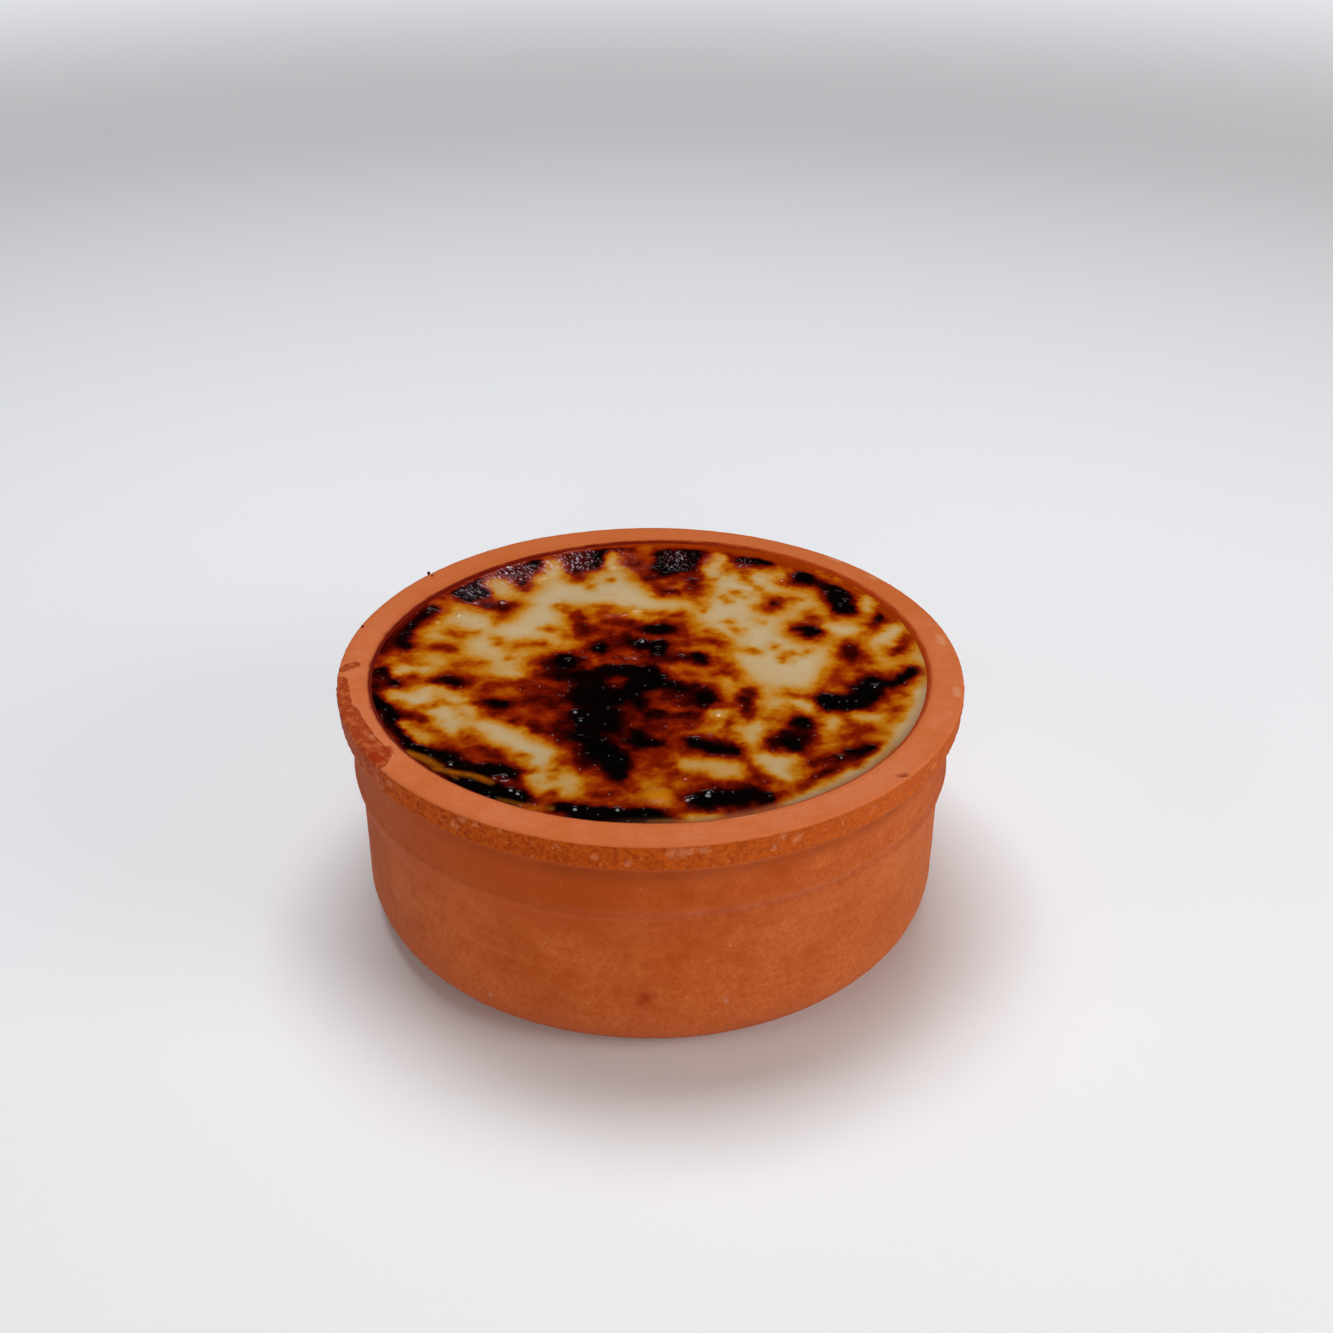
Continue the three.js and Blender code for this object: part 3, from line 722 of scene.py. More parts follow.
        (1.4, (-0.6, 37), (1.4, 34.6), (3.4, 32)), (1.1, (8.5, 35), (8.4, 32)), (1.1, (5, 38.6), (7, 37.6)),
        (0.9, (9.3, 30), (9, 28.6)), (0.6, (15, 43.8), (15.8, 42.6)),
        (1.1, (17, 49.6), (22, 48.4), (28, 45.4), (31, 43.4)), (0.9, (47.6, 22.4), (45.8, 18.6), (44.2, 15.6)),
        (0.9, (50.7, 11.4), (49.5, 8.6), (48.1, 5.9)), (1.0, (31.8, 20.4), (33.4, 18.6)),
        (1.9, (39.6, 9.6), (38.6, 5), (39.4, 2)), (0.9, (10.4, 10.6), (13, 9.2), (14.6, 7.8)),
        (1.2, (10, 2.4), (12.4, 1.8)), (1.4, (2.4, 18.4), (5.4, 17.6)),
        (1.1, (-14.9, 22.4), (-14.4, 17.6), (-13.9, 12.4)), (1.4, (-10, 21), (-6.8, 20)),
        (1.1, (-9.2, 17.6), (-4.6, 17.6)), (0.9, (-12, 14.4), (-8.4, 11.8)), (1.2, (-5, 13.6),),
        (1.6, (-19.4, 4.4), (-16.8, 5.4), (-13.6, 5.8)), (0.8, (-39.8, 14.8), (-38, 12.4)),
        (0.9, (-42.8, 8.4), (-40, 7.2), (-39, 6.6)), (0.9, (-49, 4.6), (-47, 3), (-45, 1.2)),
        (0.8, (-26.8, 8.4), (-24.4, 9), (-21.6, 9.4)), (1.1, (-37.6, 1.4), (-33.6, 1.8)),
        (1.4, (-22.6, 2.2), (-20, 1)), (1.0, (-44.8, -3.6),), (1.3, (-44.6, -17.4), (-42.4, -19)),
        (0.6, (-33, -25),), (0.8, (-39.6, -22.4), (-38, -24.4)), (1.7, (-33, -26.4), (-30.2, -28), (-28, -30)),
        (1.2, (-40, -27.2), (-36, -28.2)), (1.5, (-37, -30.2), (-33, -31)), (2.4, (-38.4, -2.6), (-36, -3)),
        (1.4, (-31, -17), (-25.4, -18.4), (-21.4, -17.6)), (1.4, (-24, -13), (-19, -9)),
        (1.3, (-21, -2), (-18, -4)), (2.2, (-20, -7), (-17.6, -14)), (1.3, (-13.6, -30.6), (-11, -34.6)),
        (2.2, (-4.4, -27.6), (-2, -31)), (1.0, (-6, -39.4),), (0.9, (-9.8, -43.8), (-6, -43.6)),
        (1.0, (6.4, -3), (9, -3.6)), (2.0, (1.6, -12), (6, -12.4)), (1.4, (18.8, -10), (18, -13), (18.4, -18)),
        (2.4, (0, -14), (0, -24)), (1.2, (3, -28.8), (1.6, -31.4)), (1.6, (5.4, -25), (6.4, -29.4)),
        (1.0, (28.2, -20.8), (29.8, -27)), (1.4, (21, -24.6), (21.6, -28.8)),
        (1.1, (34.6, -5), (36, -3), (36.2, -1)), (0.8, (46.4, -15.6), (44.2, -19.4)),
        (0.6, (37.8, -19.2), (36.4, -20.8)), (1.1, (33.4, -32.6),), (1.1, (32, -36.4), (29, -38), (26, -40.4)),
        (0.6, (17.2, -33.4), (18, -35)), (1.0, (17.4, -36.6), (20.6, -38.6)), (0.9, (8.6, -37.8), (10, -39)),
        (0.6, (26, -10), (29.6, -10.5)),
        (0.6, (-52.5, -10), (-50.4, -17), (-47.4, -23.6), (-43.8, -29.6), (-39, -35), (-33, -40.4)),
        (1.0, (-38, -34), (-35.6, -36.4)), (0.4, (-24.6, -34), (-23.6, -36)), (0.4, (-14.4, 3.4), (-13, 3)),
        (1.5, (-4.4, -34), (0, -37)), (1.2, (5, 6), (7, 9)), (1.0, (-8.6, 5.6), (-6, 7)),
        (0.7, (0.6, -46.6), (2.6, -47.8)),
    ],
    "amber": [
        (0.7, (-39, -9), (-37, -10.6)), (0.8, (-43.6, -14.6), (-41, -13.6)), (0.5, (-38, -22.6),),
        (1.0, (13.6, 47), (14, 44.6)), (0.8, (-19.4, -43), (-17.6, -43.4)), (0.7, (26, -42.6), (28, -41.4)),
        (0.8, (50.6, 15.6), (51.6, 10)), (0.9, (-19.6, -42.4), (-17, -43.6)), (0.9, (41.4, 11.6), (42.6, 10.6)),
        (0.9, (32.4, -5), (33.8, -6.4)), (0.7, (13.4, 47.4), (13.4, 44.6)), (0.8, (36, -19), (38.4, -18.8)),
        (1.0, (-46.6, -22), (-43, -23.4)), (1.0, (-38, -13), (-35, -14)), (0.6, (-21.4, -36.4), (-20.4, -35)),
        (0.5, (-17, -35.6),), (0.6, (-20.8, -40), (-19.8, -41)), (0.6, (-24.6, -30.4), (-22.4, -31.4)),
        (0.8, (-30.8, 18.6), (-30, 20.4)), (0.8, (-18.6, 25.6), (-17, 23), (-16, 20)),
        (1.3, (-12.4, 24), (-8, 23.6), (-5, 22.4)), (0.5, (-8.5, 36.5),), (0.5, (-12, 34.6),),
        (0.4, (-13, 33),), (0.8, (-21, 16), (-19, 15), (-17, 13)),
        (0.7, (-32, 13), (-30.6, 11.6), (-30.2, 9.6)), (0.5, (-27.6, 3.8),), (0.6, (-36.6, 14), (-35.2, 14.2)),
        (0.8, (-43.6, 28), (-41, 26)),
        (0.6, (18.6, 43), (19.3, 40), (19.5, 37), (21.4, 34.6), (23, 31.6), (24, 30)), (0.8, (21.2, 40.4),),
        (0.7, (11.2, 38), (13.4, 36.8)), (0.8, (11.4, 34), (11, 30)), (0.9, (17.6, 31), (19, 30)),
        (0.5, (15.2, 28.6), (15.8, 27)), (0.7, (10.2, 25.4), (10.6, 23.6)), (0.6, (27, 35.6), (28.4, 34.2)),
        (0.9, (32, 43), (37, 39.4), (41, 35), (44.4, 30.6)), (0.8, (43.8, 14.2), (43, 12.6)),
        (0.9, (48.6, 24), (48.8, 20), (48, 17)), (0.7, (29, 28.6), (31.4, 28.3)), (0.8, (32, 22.6), (33, 20.6)),
        (0.5, (35.8, 17.4), (37.6, 19)), (1.1, (19.6, 6.8), (20.8, 5.8)), (0.5, (24.4, 8.2),),
        (1.1, (26.4, 3.4), (27.4, 5)), (0.7, (30.4, 6),), (0.8, (17.4, 14.8),), (0.6, (21.7, 18.8),),
        (0.6, (15.6, 18.4),), (0.6, (10.4, 16.2), (12, 13.2), (14.4, 12.2)),
        (1.2, (0, 22), (4, 21.6), (6.8, 21.8)), (1.4, (7.8, 10.8), (7.4, 8)), (1.3, (-40.6, -13.2),),
        (0.5, (-35.8, -18.4),), (1.2, (-27.6, -9.8), (-25.8, -11)), (1.0, (-31.4, -4.2),),
        (1.1, (-17.6, -39), (-15.8, -38)), (1.0, (-12.8, -35.8), (-11, -38.8)), (1.2, (-12, -41), (-5, -40.6)),
        (1.1, (-5.6, -45.6), (-1, -46.2)), (2.0, (4, -20.6), (13, -21)), (1.4, (14.6, -19), (14, -24)),
        (0.8, (23.6, -17), (21.6, -19.6)), (0.9, (25.6, -14.6), (27, -17.4)), (1.0, (32.6, -7.4), (33.6, -9)),
        (1.7, (47.4, -9.4), (46, -13), (43, -16.4)), (0.6, (49.2, -12.8),), (1.2, (40.8, -23.4), (43.8, -24.4)),
        (1.2, (40.4, -26.8), (34.6, -28.4)), (0.9, (25.4, -41.8), (27.4, -41)), (2.6, (0.2, -43.6), (2.8, -45)),
        (0.9, (-23, -46.2), (-19, -46.8), (-15, -48.4)), (0.9, (3, -31), (4.6, -37)),
        (0.8, (15.4, -25), (17, -28)), (0.7, (22, -38.8), (23.6, -41)), (0.5, (-27, -31.4), (-25.6, -33)),
        (0.8, (10, -48.8), (13, -48.6)), (1.0, (14.6, 4), (16, -1), (16.4, -5)),
    ],
    "tint": [
        (0.8, (45, -1), (49, -3.4)), (1.2, (44.2, 6.6),), (0.5, (23.4, -3.6),), (0.4, (23.3, -6.6),),
        (0.6, (15.2, 17),), (0.6, (25.8, 13.4),), (0.8, (49.6, -7.6),), (1.6, (17, 24), (19, 13), (17, 4)),
        (1.0, (-12, 30), (-8, 29)), (1.6, (-33, 8), (-28, 12)), (1.6, (-24, 6), (-30, 2)),
    ],
    # clearer places, written in the same way: milk, tanned milk, the pale rim, the bubble and ruddy char
    "cream": [
        (0.7, (-23, 38), (-21, 39.6)), (3.0, (-33.2, 35.6), (-31, 32)), (1.0, (35.6, 17.2), (38.8, 14.8)),
        (0.3, (44.4, 28), (43.9, 23.4)), (0.7, (48.6, 15.4), (46.6, 10.6)), (1.2, (-21.6, 44.6), (-20.4, 42)),
        (0.8, (-8.4, 47.4), (-7.8, 42.6)), (0.8, (14.6, 47.4), (14.3, 45)), (0.9, (13.6, 43.6), (12.4, 40.4)),
        (1.0, (-48.4, -2), (-46.8, 0.2)), (1.1, (-43.6, -1),), (0.8, (-48.8, -9.8), (-47, -11), (-44, -12.4)),
        (0.9, (-42, -8.4), (-42.6, -11)), (0.7, (-45, -21), (-42.6, -24.4), (-40.8, -26)),
        (1.8, (-39, -16), (-36.6, -20), (-36.6, -23)), (1.2, (-34.4, -15.6), (-32.6, -17.4)),
        (0.6, (-40.4, -8), (-37.6, -10.6), (-35.8, -12.4)),
        (1.2, (-30.4, -21.2), (-27, -24.4), (-23, -27.6), (-19, -29.6)), (1.0, (-18.8, -31), (-20, -33)),
        (1.2, (-20, -39), (-19, -42)), (1.3, (-28.6, -2), (-26, -2.4)), (0.9, (12.5, -17.2),),
        (0.7, (33, -20), (33, -22)), (0.8, (38.4, -17.6), (41.2, -18)),
        (1.3, (20.4, -32.6), (23, -33.6), (25.6, -32.2)), (1.1, (22.2, -36), (23.8, -38)),
        (0.3, (7, -50.8), (11, -50.4)), (1.1, (19.5, -22), (18, -26)), (1.1, (28, -13.4), (29.4, -14.6)),
    ],
    "tan": [
        (0.5, (6, -34.4), (10, -34.8), (14, -35.2)), (0.4, (12, -37.2), (15, -37)),
        (1.0, (-15, -38.4), (-13.6, -43.4)),
    ],
    "edge": [(
        0.6, (23.6, -46.6), (27, -44.6), (32, -41), (38, -35.6), (44, -28), (48.6, -19.8), (50.6, -14),
        (51.4, -9.4),
    )],
    # half width, strength and line of the golden threads on the char
    "golden": [
        (0.8, 0.8, (-43.4, -30.6), (-41.4, -31.6), (-39.4, -33), (-37.6, -35.2)),
        (0.6, 0.7, (-38, -35.4), (-35.6, -36.6), (-33, -37.4), (-30, -38.4), (-28, -40.2)),
        (0.35, 0.4, (-35.6, -36.6), (-34, -38.8)), (0.5, 0.45, (-26, -45.4), (-22, -46.8), (-17, -48)),
        (0.5, 0.4, (0, -52), (8, -51.4), (16, -49.6), (22, -47)),
    ],
    "bulge": [(2.0, (0.4, -42), (2.4, -45.4))],
    "ruddy": [
        (1.0, (-6.8, -6.4)), (0.8, (-11, -22.3)), (0.7, (4.5, -8.8)), (0.5, (42.8, -8.2)),
        (1.6, (9, -26), (12.4, -26.6)), (1.2, (-9.6, 3.4), (-6.4, 4.2)), (1.2, (4.6, 35.4)),
    ],
    # how hot each kind of mark is in its middle, and how softly it fades
    "heats": {
        "char": (0.95, 2.6), "dark": (0.54, 2.3), "brown": (0.45, 2.4), "amber": (0.31, 1.4),
        "tint": (0.06, 1.0),
    },
    # the heat that clearer places are brought to, how fully, and how softly
    "clearings": {
        "cream": (0.05, 0.7, 1.6), "tan": (0.13, 0.7, 1.6), "edge": (0.06, 0.85, 1.7),
        "bulge": (0.31, 0.92, 2.6), "ruddy": (0.82, 0.5, 1.1),
    },
    "markCore": 0.63,  # how much of a mark's half width is as hot as its middle
    "clearingCore": 0.24,
    "crowding": 2.2,  # how softly marks that overlap add up
    "bareHeat": 0.045,
    "edgeHeat": 0.52,  # the most that the skin has at the back where it meets the clay
    "edgeHeatLeft": 0.2,  # and how much more at the left
    "edgeFrom": (50.6, 52.2),
    "heatDrift": 0.03,
    "paling": 0.05,  # how much cooler the palest skin is made
    "paintedSheenPaling": 0.16,  # and char where the sheen is painted on it
    "slowFrom": 0.75,  # above this the heat builds up slowly to full char
    "raggedness": (0.8, 0.45),  # how far broad and fine wobbles move the edges of the marks
    "mottle": (0.10, 0.05),
    "light": 0.95,  # how bright a white surface is where the halva's skin lies
    # screen colours of the skin by heat, from pale milk to char
    "bakeColours": [
        (-0.15, (196, 172, 134)), (0.0, (192, 165, 124)), (0.08, (190, 150, 92)), (0.16, (190, 136, 64)),
        (0.24, (188, 120, 26)), (0.34, (178, 98, 3)), (0.44, (162, 66, 0)), (0.56, (134, 31, 0)),
        (0.68, (102, 15, 0)), (0.78, (70, 5, 0)), (0.86, (34, 1, 0)), (0.92, (8, 1, 1)), (1.0, (1, 1, 1)),
    ],
    # screen colours of what is laid over them, painted sheen, glints, glow and shade among them
    "laidColours": {
        "veil": (128, 138, 132), "streak": (212, 196, 208), "glow": (204, 118, 4),
        "golden": (176, 98, 12), "dim": (4, 1, 0), "shade": (136, 84, 58),
    },
}


def scorch(points):
    # how hot the skin got at each place, from 0 for pale milk to 1 for char
    broad, fine = halva["raggedness"]
    warpX = points[:, 0] + broad * cloud(points, 4.5, 2, 1.0) + fine * cloud(points, 1.3, 2, 2.0)
    warpY = points[:, 1] + broad * cloud(points, 4.5, 2, 3.0) + fine * cloud(points, 1.3, 2, 4.0)
    crowding = halva["crowding"]
    heat = np.clip(halva["bareHeat"] + halva["heatDrift"] * cloud(points, 5.0, 3, 6.0), 0, 1) ** crowding
    # the faint marks are broken up
    broken = np.clip(1.05 + 0.7 * cloud(points, 2.6, 2, 8.0), 0.25, 1.3)
    for kind, (level, halo) in halva["heats"].items():
        strength = level * (broken if kind in ("amber", "tint") else 1)
        for width, *line in halva[kind]:
            away = np.clip(distanceTo(line, warpX, warpY) - halva["markCore"] * width, 0, None)
            heat += (strength * np.exp(-(away / halo) ** 1.1)) ** crowding
    heat = heat ** (1 / crowding)
    for kind, (level, strength, halo) in halva["clearings"].items():
        for width, *line in halva[kind]:
            away = np.clip(distanceTo(line, warpX, warpY) - halva["clearingCore"] * width, 0, None)
            heat += (level - heat) * strength * np.exp(-(away / halo) ** 2)
    heat = heat - halva["paling"] * (1 - smooth(0.08, 0.25, heat))
    middle = smooth(0.05, 0.3, heat) * (1 - smooth(0.75, 1.0, heat))
    coarse, small = halva["mottle"]
    heat += middle * (coarse * cloud(points, 2.2, 3, 7.0) + small * cloud(points, 0.8, 2, 5.0))
    # at the back nothing is burnt quite black where the skin meets the clay
    radius = np.hypot(points[:, 0], points[:, 1]) + 0.4 * cloud(points, 2, 2, 9)
    edgeHeat = halva["edgeHeat"] + halva["edgeHeatLeft"] * smooth(-36, -47, points[:, 0])
    heat -= np.clip(heat - edgeHeat, 0, None) * smooth(*halva["edgeFrom"], radius) * smooth(0, 20, points[:, 1])
    slowFrom = halva["slowFrom"]
    slow = slowFrom + (1 - slowFrom) * (1 - np.exp(-np.clip(heat - slowFrom, 0, None) / (0.9 * (1 - slowFrom))))
    return np.where(heat > slowFrom, slow, heat)


def paintedSheenAt(points):
    # how strongly the pale sheen is painted at each place
    ragged = points[:, :2] + 1.2 * np.column_stack([cloud(points, 2.4, 2, seed) for seed in (36, 37)])
    sheen = np.zeros(len(points))
    for x, y, size, share in halva["paintedSheens"]:
        away = np.hypot(ragged[:, 0] - x, ragged[:, 1] - y) / size
        sheen = np.maximum(sheen, share * (1 - smooth(0.45, 1.15, away)))
    return sheen


def lipRadius(dish, height):
    # how far from the axis the rounded lip of the mouth stands at a height
    rise = (height - dish["height"] + dish["mouthLipDepth"]) / dish["mouthLipDepth"]
    return dish["mouthRadius"] - dish["mouthLipWidth"] * np.sqrt(1 - np.clip(rise, 0, 1) ** 2)


def climbAt(angle):
    # the skin clings a little higher at the back left
    back = smooth(-0.3, 0.6, np.cos(angle - math.radians(halva["climbTowards"])))
    return halva["climb"] + halva["climbBack"] * back


def wrinkledAt(angle):
    # the skin shrank away from the clay at the back left, which left radial wrinkles
    return smooth(0.7, 0.95, np.cos(angle - math.radians(halva["wrinkledTowards"])))


def skinHeight(x, y, edge, heat):
    # the height of the skin over the dish's foot
    flat = np.column_stack([x, y, np.zeros_like(x)])
    radius = np.hypot(x, y)
    angle = np.arctan2(y, x)
    height = np.zeros_like(x)
    for length, rise, turn in halva["waves"]:
        height += rise * np.sin(2 * math.pi * (x * math.cos(turn) + y * math.sin(turn)) / length + turn)
    height *= np.clip(1 - (radius / edge) ** 4, 0, 1)
    inward = np.clip(edge - radius, 0, None)
    height += climbAt(angle) * np.exp(-(inward / halva["climbWidth"]) ** 1.3)
    backLeft = smooth(0.3, 0.8, np.cos(angle - math.radians(halva["dishingTowards"])))
    height -= halva["dishing"] * backLeft * smooth(0.8, 9, inward) * (1 - smooth(9, 26, inward))

    # burnt skin puffs up into a rough crust, and pale skin stays smooth
    crust = smooth(0.6, 0.9, heat)
    height += halva["skinSwell"] * cloud(flat, 6, 2, 31)
    height += halva["crustRise"] * crust * (0.7 + 0.6 * cloud(flat, 3, 2, 32))
    height += halva["crustGrain"] * (0.15 + crust) * cloud(flat, 1.5, 2, 33)

    wrinkled = wrinkledAt(angle) * smooth(40, 45, radius) * smooth(0.5, 0.8, heat)
    across = angle * 46 + 1.2 * cloud(flat, 5, 2, 34)
    wave = np.sin(2 * math.pi * across / halva["wrinkleLength"])
    height += halva["wrinkleHeight"] * wrinkled * wave * (0.7 + 0.6 * cloud(flat, 4, 2, 35))

    # the fold under the first golden threads, the bubble, the blisters and the wet ridges
    fold = np.min([distanceTo(line, x, y) for _, _, *line in halva["golden"][:3]], axis=0)
    height += halva["foldHeight"] * np.exp(-(fold / halva["foldWidth"]) ** 2)
    bubbleX, bubbleY, halfWidth, halfDepth, rise = halva["bubble"]
    away = np.hypot((x - bubbleX) / halfWidth, (y - bubbleY) / halfDepth)
    height += rise * np.clip(1 - away ** 2, 0, 1) ** 2
    for blisterX, blisterY, size in halva["blisters"]:
        size *= halva["blisterSize"]
        away = np.hypot(x - blisterX, y - blisterY) / size
        height += halva["blisterHeight"] * size * np.clip(1 - away ** 2, 0, 1) ** 0.9
    wet = np.min([distanceTo(line, x, y) for line in halva["wetRidges"]], axis=0)
    height += halva["wetRidgeHeight"] * np.clip(1 - (wet / halva["wetRidgeWidth"]) ** 2, 0, 1)
    return halva["level"] + height


def sideRings(dish):
    # radius and height of each ring of the halva below its skin
    corner = dish["innerCornerRadius"]
    cornerMiddle = (dish["innerFloorRadius"] - corner, dish["floorThickness"] + corner)
    bend = corner - halva["gap"]
    lipFoot = dish["height"] - dish["mouthLipDepth"]
    return [
        (dish["mouthRadius"] - dish["mouthLipWidth"] - halva["gap"] / 2, lipFoot - 0.2),
        (dish["innerWallRadius"] - halva["gap"], dish["height"] - dish["mouthDepth"]),
        *quarter(cornerMiddle, (1, 0), (0, -1), bend, bend, 3),
    ]


def buildHalva(dish):
    # a square net for the skin, with a ring of walls below it for each step down the dish; z counts the rings
    rings = sideRings(dish)
    shape = bmesh.new()
    bmesh.ops.create_grid(shape, x_segments=halva["gridSteps"], y_segments=halva["gridSteps"], size=1)
    edges = [edge for edge in shape.edges if edge.is_boundary]
    for _ in rings:
        grown = bmesh.ops.extrude_edge_only(shape, edges=edges)["geom"]
        verts = [item for item in grown if isinstance(item, bmesh.types.BMVert)]
        bmesh.ops.translate(shape, vec=(0, 0, -1), verts=verts)
        edges = [item for item in grown if isinstance(item, bmesh.types.BMEdge) and item.is_boundary]
    bmesh.ops.contextual_create(shape, geom=edges)
    bmesh.ops.recalc_face_normals(shape, faces=shape.faces)
    piece = newPiece("scorched_halva", shape, bakedFinish())
    hottest = bakeSkin(dish, rings, piece.data)
    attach(piece, "root")
    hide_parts("milk_halva")
    print("halva filled in:", len(piece.data.polygons), "faces, hottest", round(hottest, 2))


def bakeSkin(dish, rings, mesh):
    # the square net is rounded to fill the mouth, its skin raised, and all that shows on it kept as masks
    squareX, squareY, count = meshPlaces(mesh).T
    x = squareX * np.sqrt(1 - squareY ** 2 / 2)
    y = squareY * np.sqrt(1 - squareX ** 2 / 2)
    depth = np.round(-count).astype(int)
    onSkin = depth == 0
    angle = np.arctan2(y, x)
    skinEdge = lipRadius(dish, halva["level"] + climbAt(angle)) + halva["intoWall"]
    out = np.where(onSkin, skinEdge, np.array([skinEdge.mean()] + [ring[0] for ring in rings])[depth])
    z = np.array([halva["level"]] + [ring[1] for ring in rings])[depth]
    places = np.column_stack([x * out, y * out, z])
    growth = mouthGrowth(dish, *places.T)
    places[:, :2] *= growth[:, None]
    heat, sheen = np.zeros(len(places)), np.zeros(len(places))
    skin = places[onSkin] * (1, 1, 0)
    sheen[onSkin] = paintedSheenAt(skin)
    burnt = scorch(skin)
    heat[onSkin] = burnt - halva["paintedSheenPaling"] * smooth(0.5, 0.9, burnt) * sheen[onSkin]
    places[onSkin, 2] = skinHeight(skin[:, 0], skin[:, 1], (out * growth)[onSkin], heat[onSkin])
    setMeshPlaces(mesh, places)

    setMask(mesh, "scorching", heat)
    setMask(mesh, "sheen", sheen)
    x, y, _ = places.T
    radius = np.hypot(x, y)
    setMask(mesh, "wrinkled", wrinkledAt(angle) * smooth(38, 44, radius) * onSkin)
    golden = np.zeros(len(places))
    wandering = places[:, :2] + 0.3 * np.column_stack([cloud(places, 3, 2, seed) for seed in (38, 39)])
    for width, share, *line in halva["golden"]:
        away = distanceTo(line, *wandering.T)
        golden = np.maximum(golden, share * (1 - smooth(0.1 * width, 1.9 * width, away)))
    setMask(mesh, "golden", golden * onSkin)
    # the strip beside the clay at the near right lies in its shade
    beside = 1 - smooth(0.4, 2.8, out * growth - radius)
    setMask(mesh, "shaded", beside * smooth(15, -35, y) * smooth(-10, 15, x))
    bubbleX, bubbleY, halfWidth, halfDepth, _ = halva["bubble"]
    swollen = 1.2 * np.hypot((x - bubbleX) / halfWidth, (y - bubbleY) / halfDepth)
    setMask(mesh, "glow", (1 - smooth(0.2, 1.0, swollen)) * onSkin)
    return float(heat.max())


def bakedFinish():
    skin = Finish(bpy.data.materials.new("scorched_milk_skin"))

    def laid(name, share, under):
        return skin.blend(share, under, colour(*halva["laidColours"][name], halva["light"]))

    fine = skin.grain(0.7, 3, 0.6)
    finest = skin.grain(0.3, 2, 0.5)
    measured = skin.mask("scorching")
    middle = skin.step(0.05, 0.3, measured) * skin.step(0.7, 1.0, measured, 1.0, 0.0)
    heat = measured + (fine - 0.5) * middle * 0.08 + (finest - 0.5) * middle * 0.04
    colours = halva["bakeColours"]
    low, high = colours[0][0], colours[-1][0]
    stops = [((level - low) / (high - low), colour(*tone, halva["light"])) for level, tone in colours]
    tone = skin.ramp((heat - low) * (1 / (high - low)), stops)
    burnt = skin.step(0.5, 0.9, heat)

    # fine wrinkles that run outwards at the back and the left
    flat = skin.add("ShaderNodeVectorMath", {"operation": "MULTIPLY"}, {0: skin.place, 1: (1, 1, 0)})
    out = skin.add("ShaderNodeVectorMath", {"operation": "LENGTH"}, {0: flat}, output="Value")
    around = skin.add("ShaderNodeVectorMath", {"operation": "NORMALIZE"}, {0: flat})
    around = skin.add("ShaderNodeVectorMath", {"operation": "SCALE"}, {0: around, "Scale": 50})
    depth = skin.add("ShaderNodeCombineXYZ", sockets={"Z": out * 0.42})
    streaked = skin.add("ShaderNodeVectorMath", {"operation": "ADD"}, {0: around, 1: depth})
    streaks = skin.grain(0.48, 2, 0.6, place=streaked)
    wrinkles = (streaks - 0.5) * skin.mask("wrinkled") * skin.step(0.02, 0.3, measured)

    # painted sheen and glints on those wrinkles, a painted glow of light through the bubble, and the golden
    # threads
    paintedSheenShare = skin.mask("sheen")
    speckle = skin.step(0.42, 0.62, skin.grain(1.1, 3, 0.6))
    # painted sheen: a pale veil and glinting streaks laid on the wrinkled char
    tone = laid("veil", paintedSheenShare * skin.step(0.4, 0.8, measured, 0.14, 0.0), tone)
    tone = laid("streak", paintedSheenShare * skin.step(0.54, 0.66, streaks) * (0.25 + 0.75 * speckle) * 0.95, tone)
    tone = laid("glow", skin.mask("glow") * 0.6, tone)
    tone = laid("golden", skin.mask("golden") * (0.6 + speckle * 0.3), tone)
    # the near part gets less light, and the strip beside the clay there least
    near = skin.add("ShaderNodeSeparateXYZ", sockets={0: skin.place}, output="Y")
    tone = laid("dim", skin.step(5, -50, near) * 0.12, tone)
    tone = laid("shade", skin.mask("shaded") * 0.6, tone)

    # pimples on the char
    dots = {"Vector": skin.place, "Scale": 1 / 1.7}
    chosen = skin.step(0.5, 0.56, skin.add("ShaderNodeTexVoronoi", sockets=dots, output="Color"))
    pimples = skin.step(0.04, 0.2, skin.add("ShaderNodeTexVoronoi", sockets=dots), 1.0, 0.0) * chosen * burnt
    relief = (fine - 0.5) * (0.03 + 0.07 * burnt) + pimples * 0.8 + wrinkles * 0.9
    bump = skin.add("ShaderNodeBump", sockets={"Strength": 1.0, "Distance": 0.0003, "Height": relief})
    return skin.finishWith({
        "Base Color": tone,
        "Roughness": 0.16 - burnt * 0.04 + paintedSheenShare * 0.1 + (fine - 0.5) * 0.04,
        "Specular IOR Level": 0.3,
        "Normal": bump,
    })


# A few burnt crumbs that fell on the rim

crumbs = {
    # x, y, then half of how long, how wide and how high each one is, and its turn in degrees
    "burnt_crumb_1": (-46.6, 37.2, 0.34, 0.28, 0.42, 40),
    "burnt_crumb_2": (-45.8, 36.4, 0.22, 0.18, 0.16, 10),
    "burnt_crumb_3": (-57.4, 14.4, 0.3, 0.22, 0.22, 70),
}


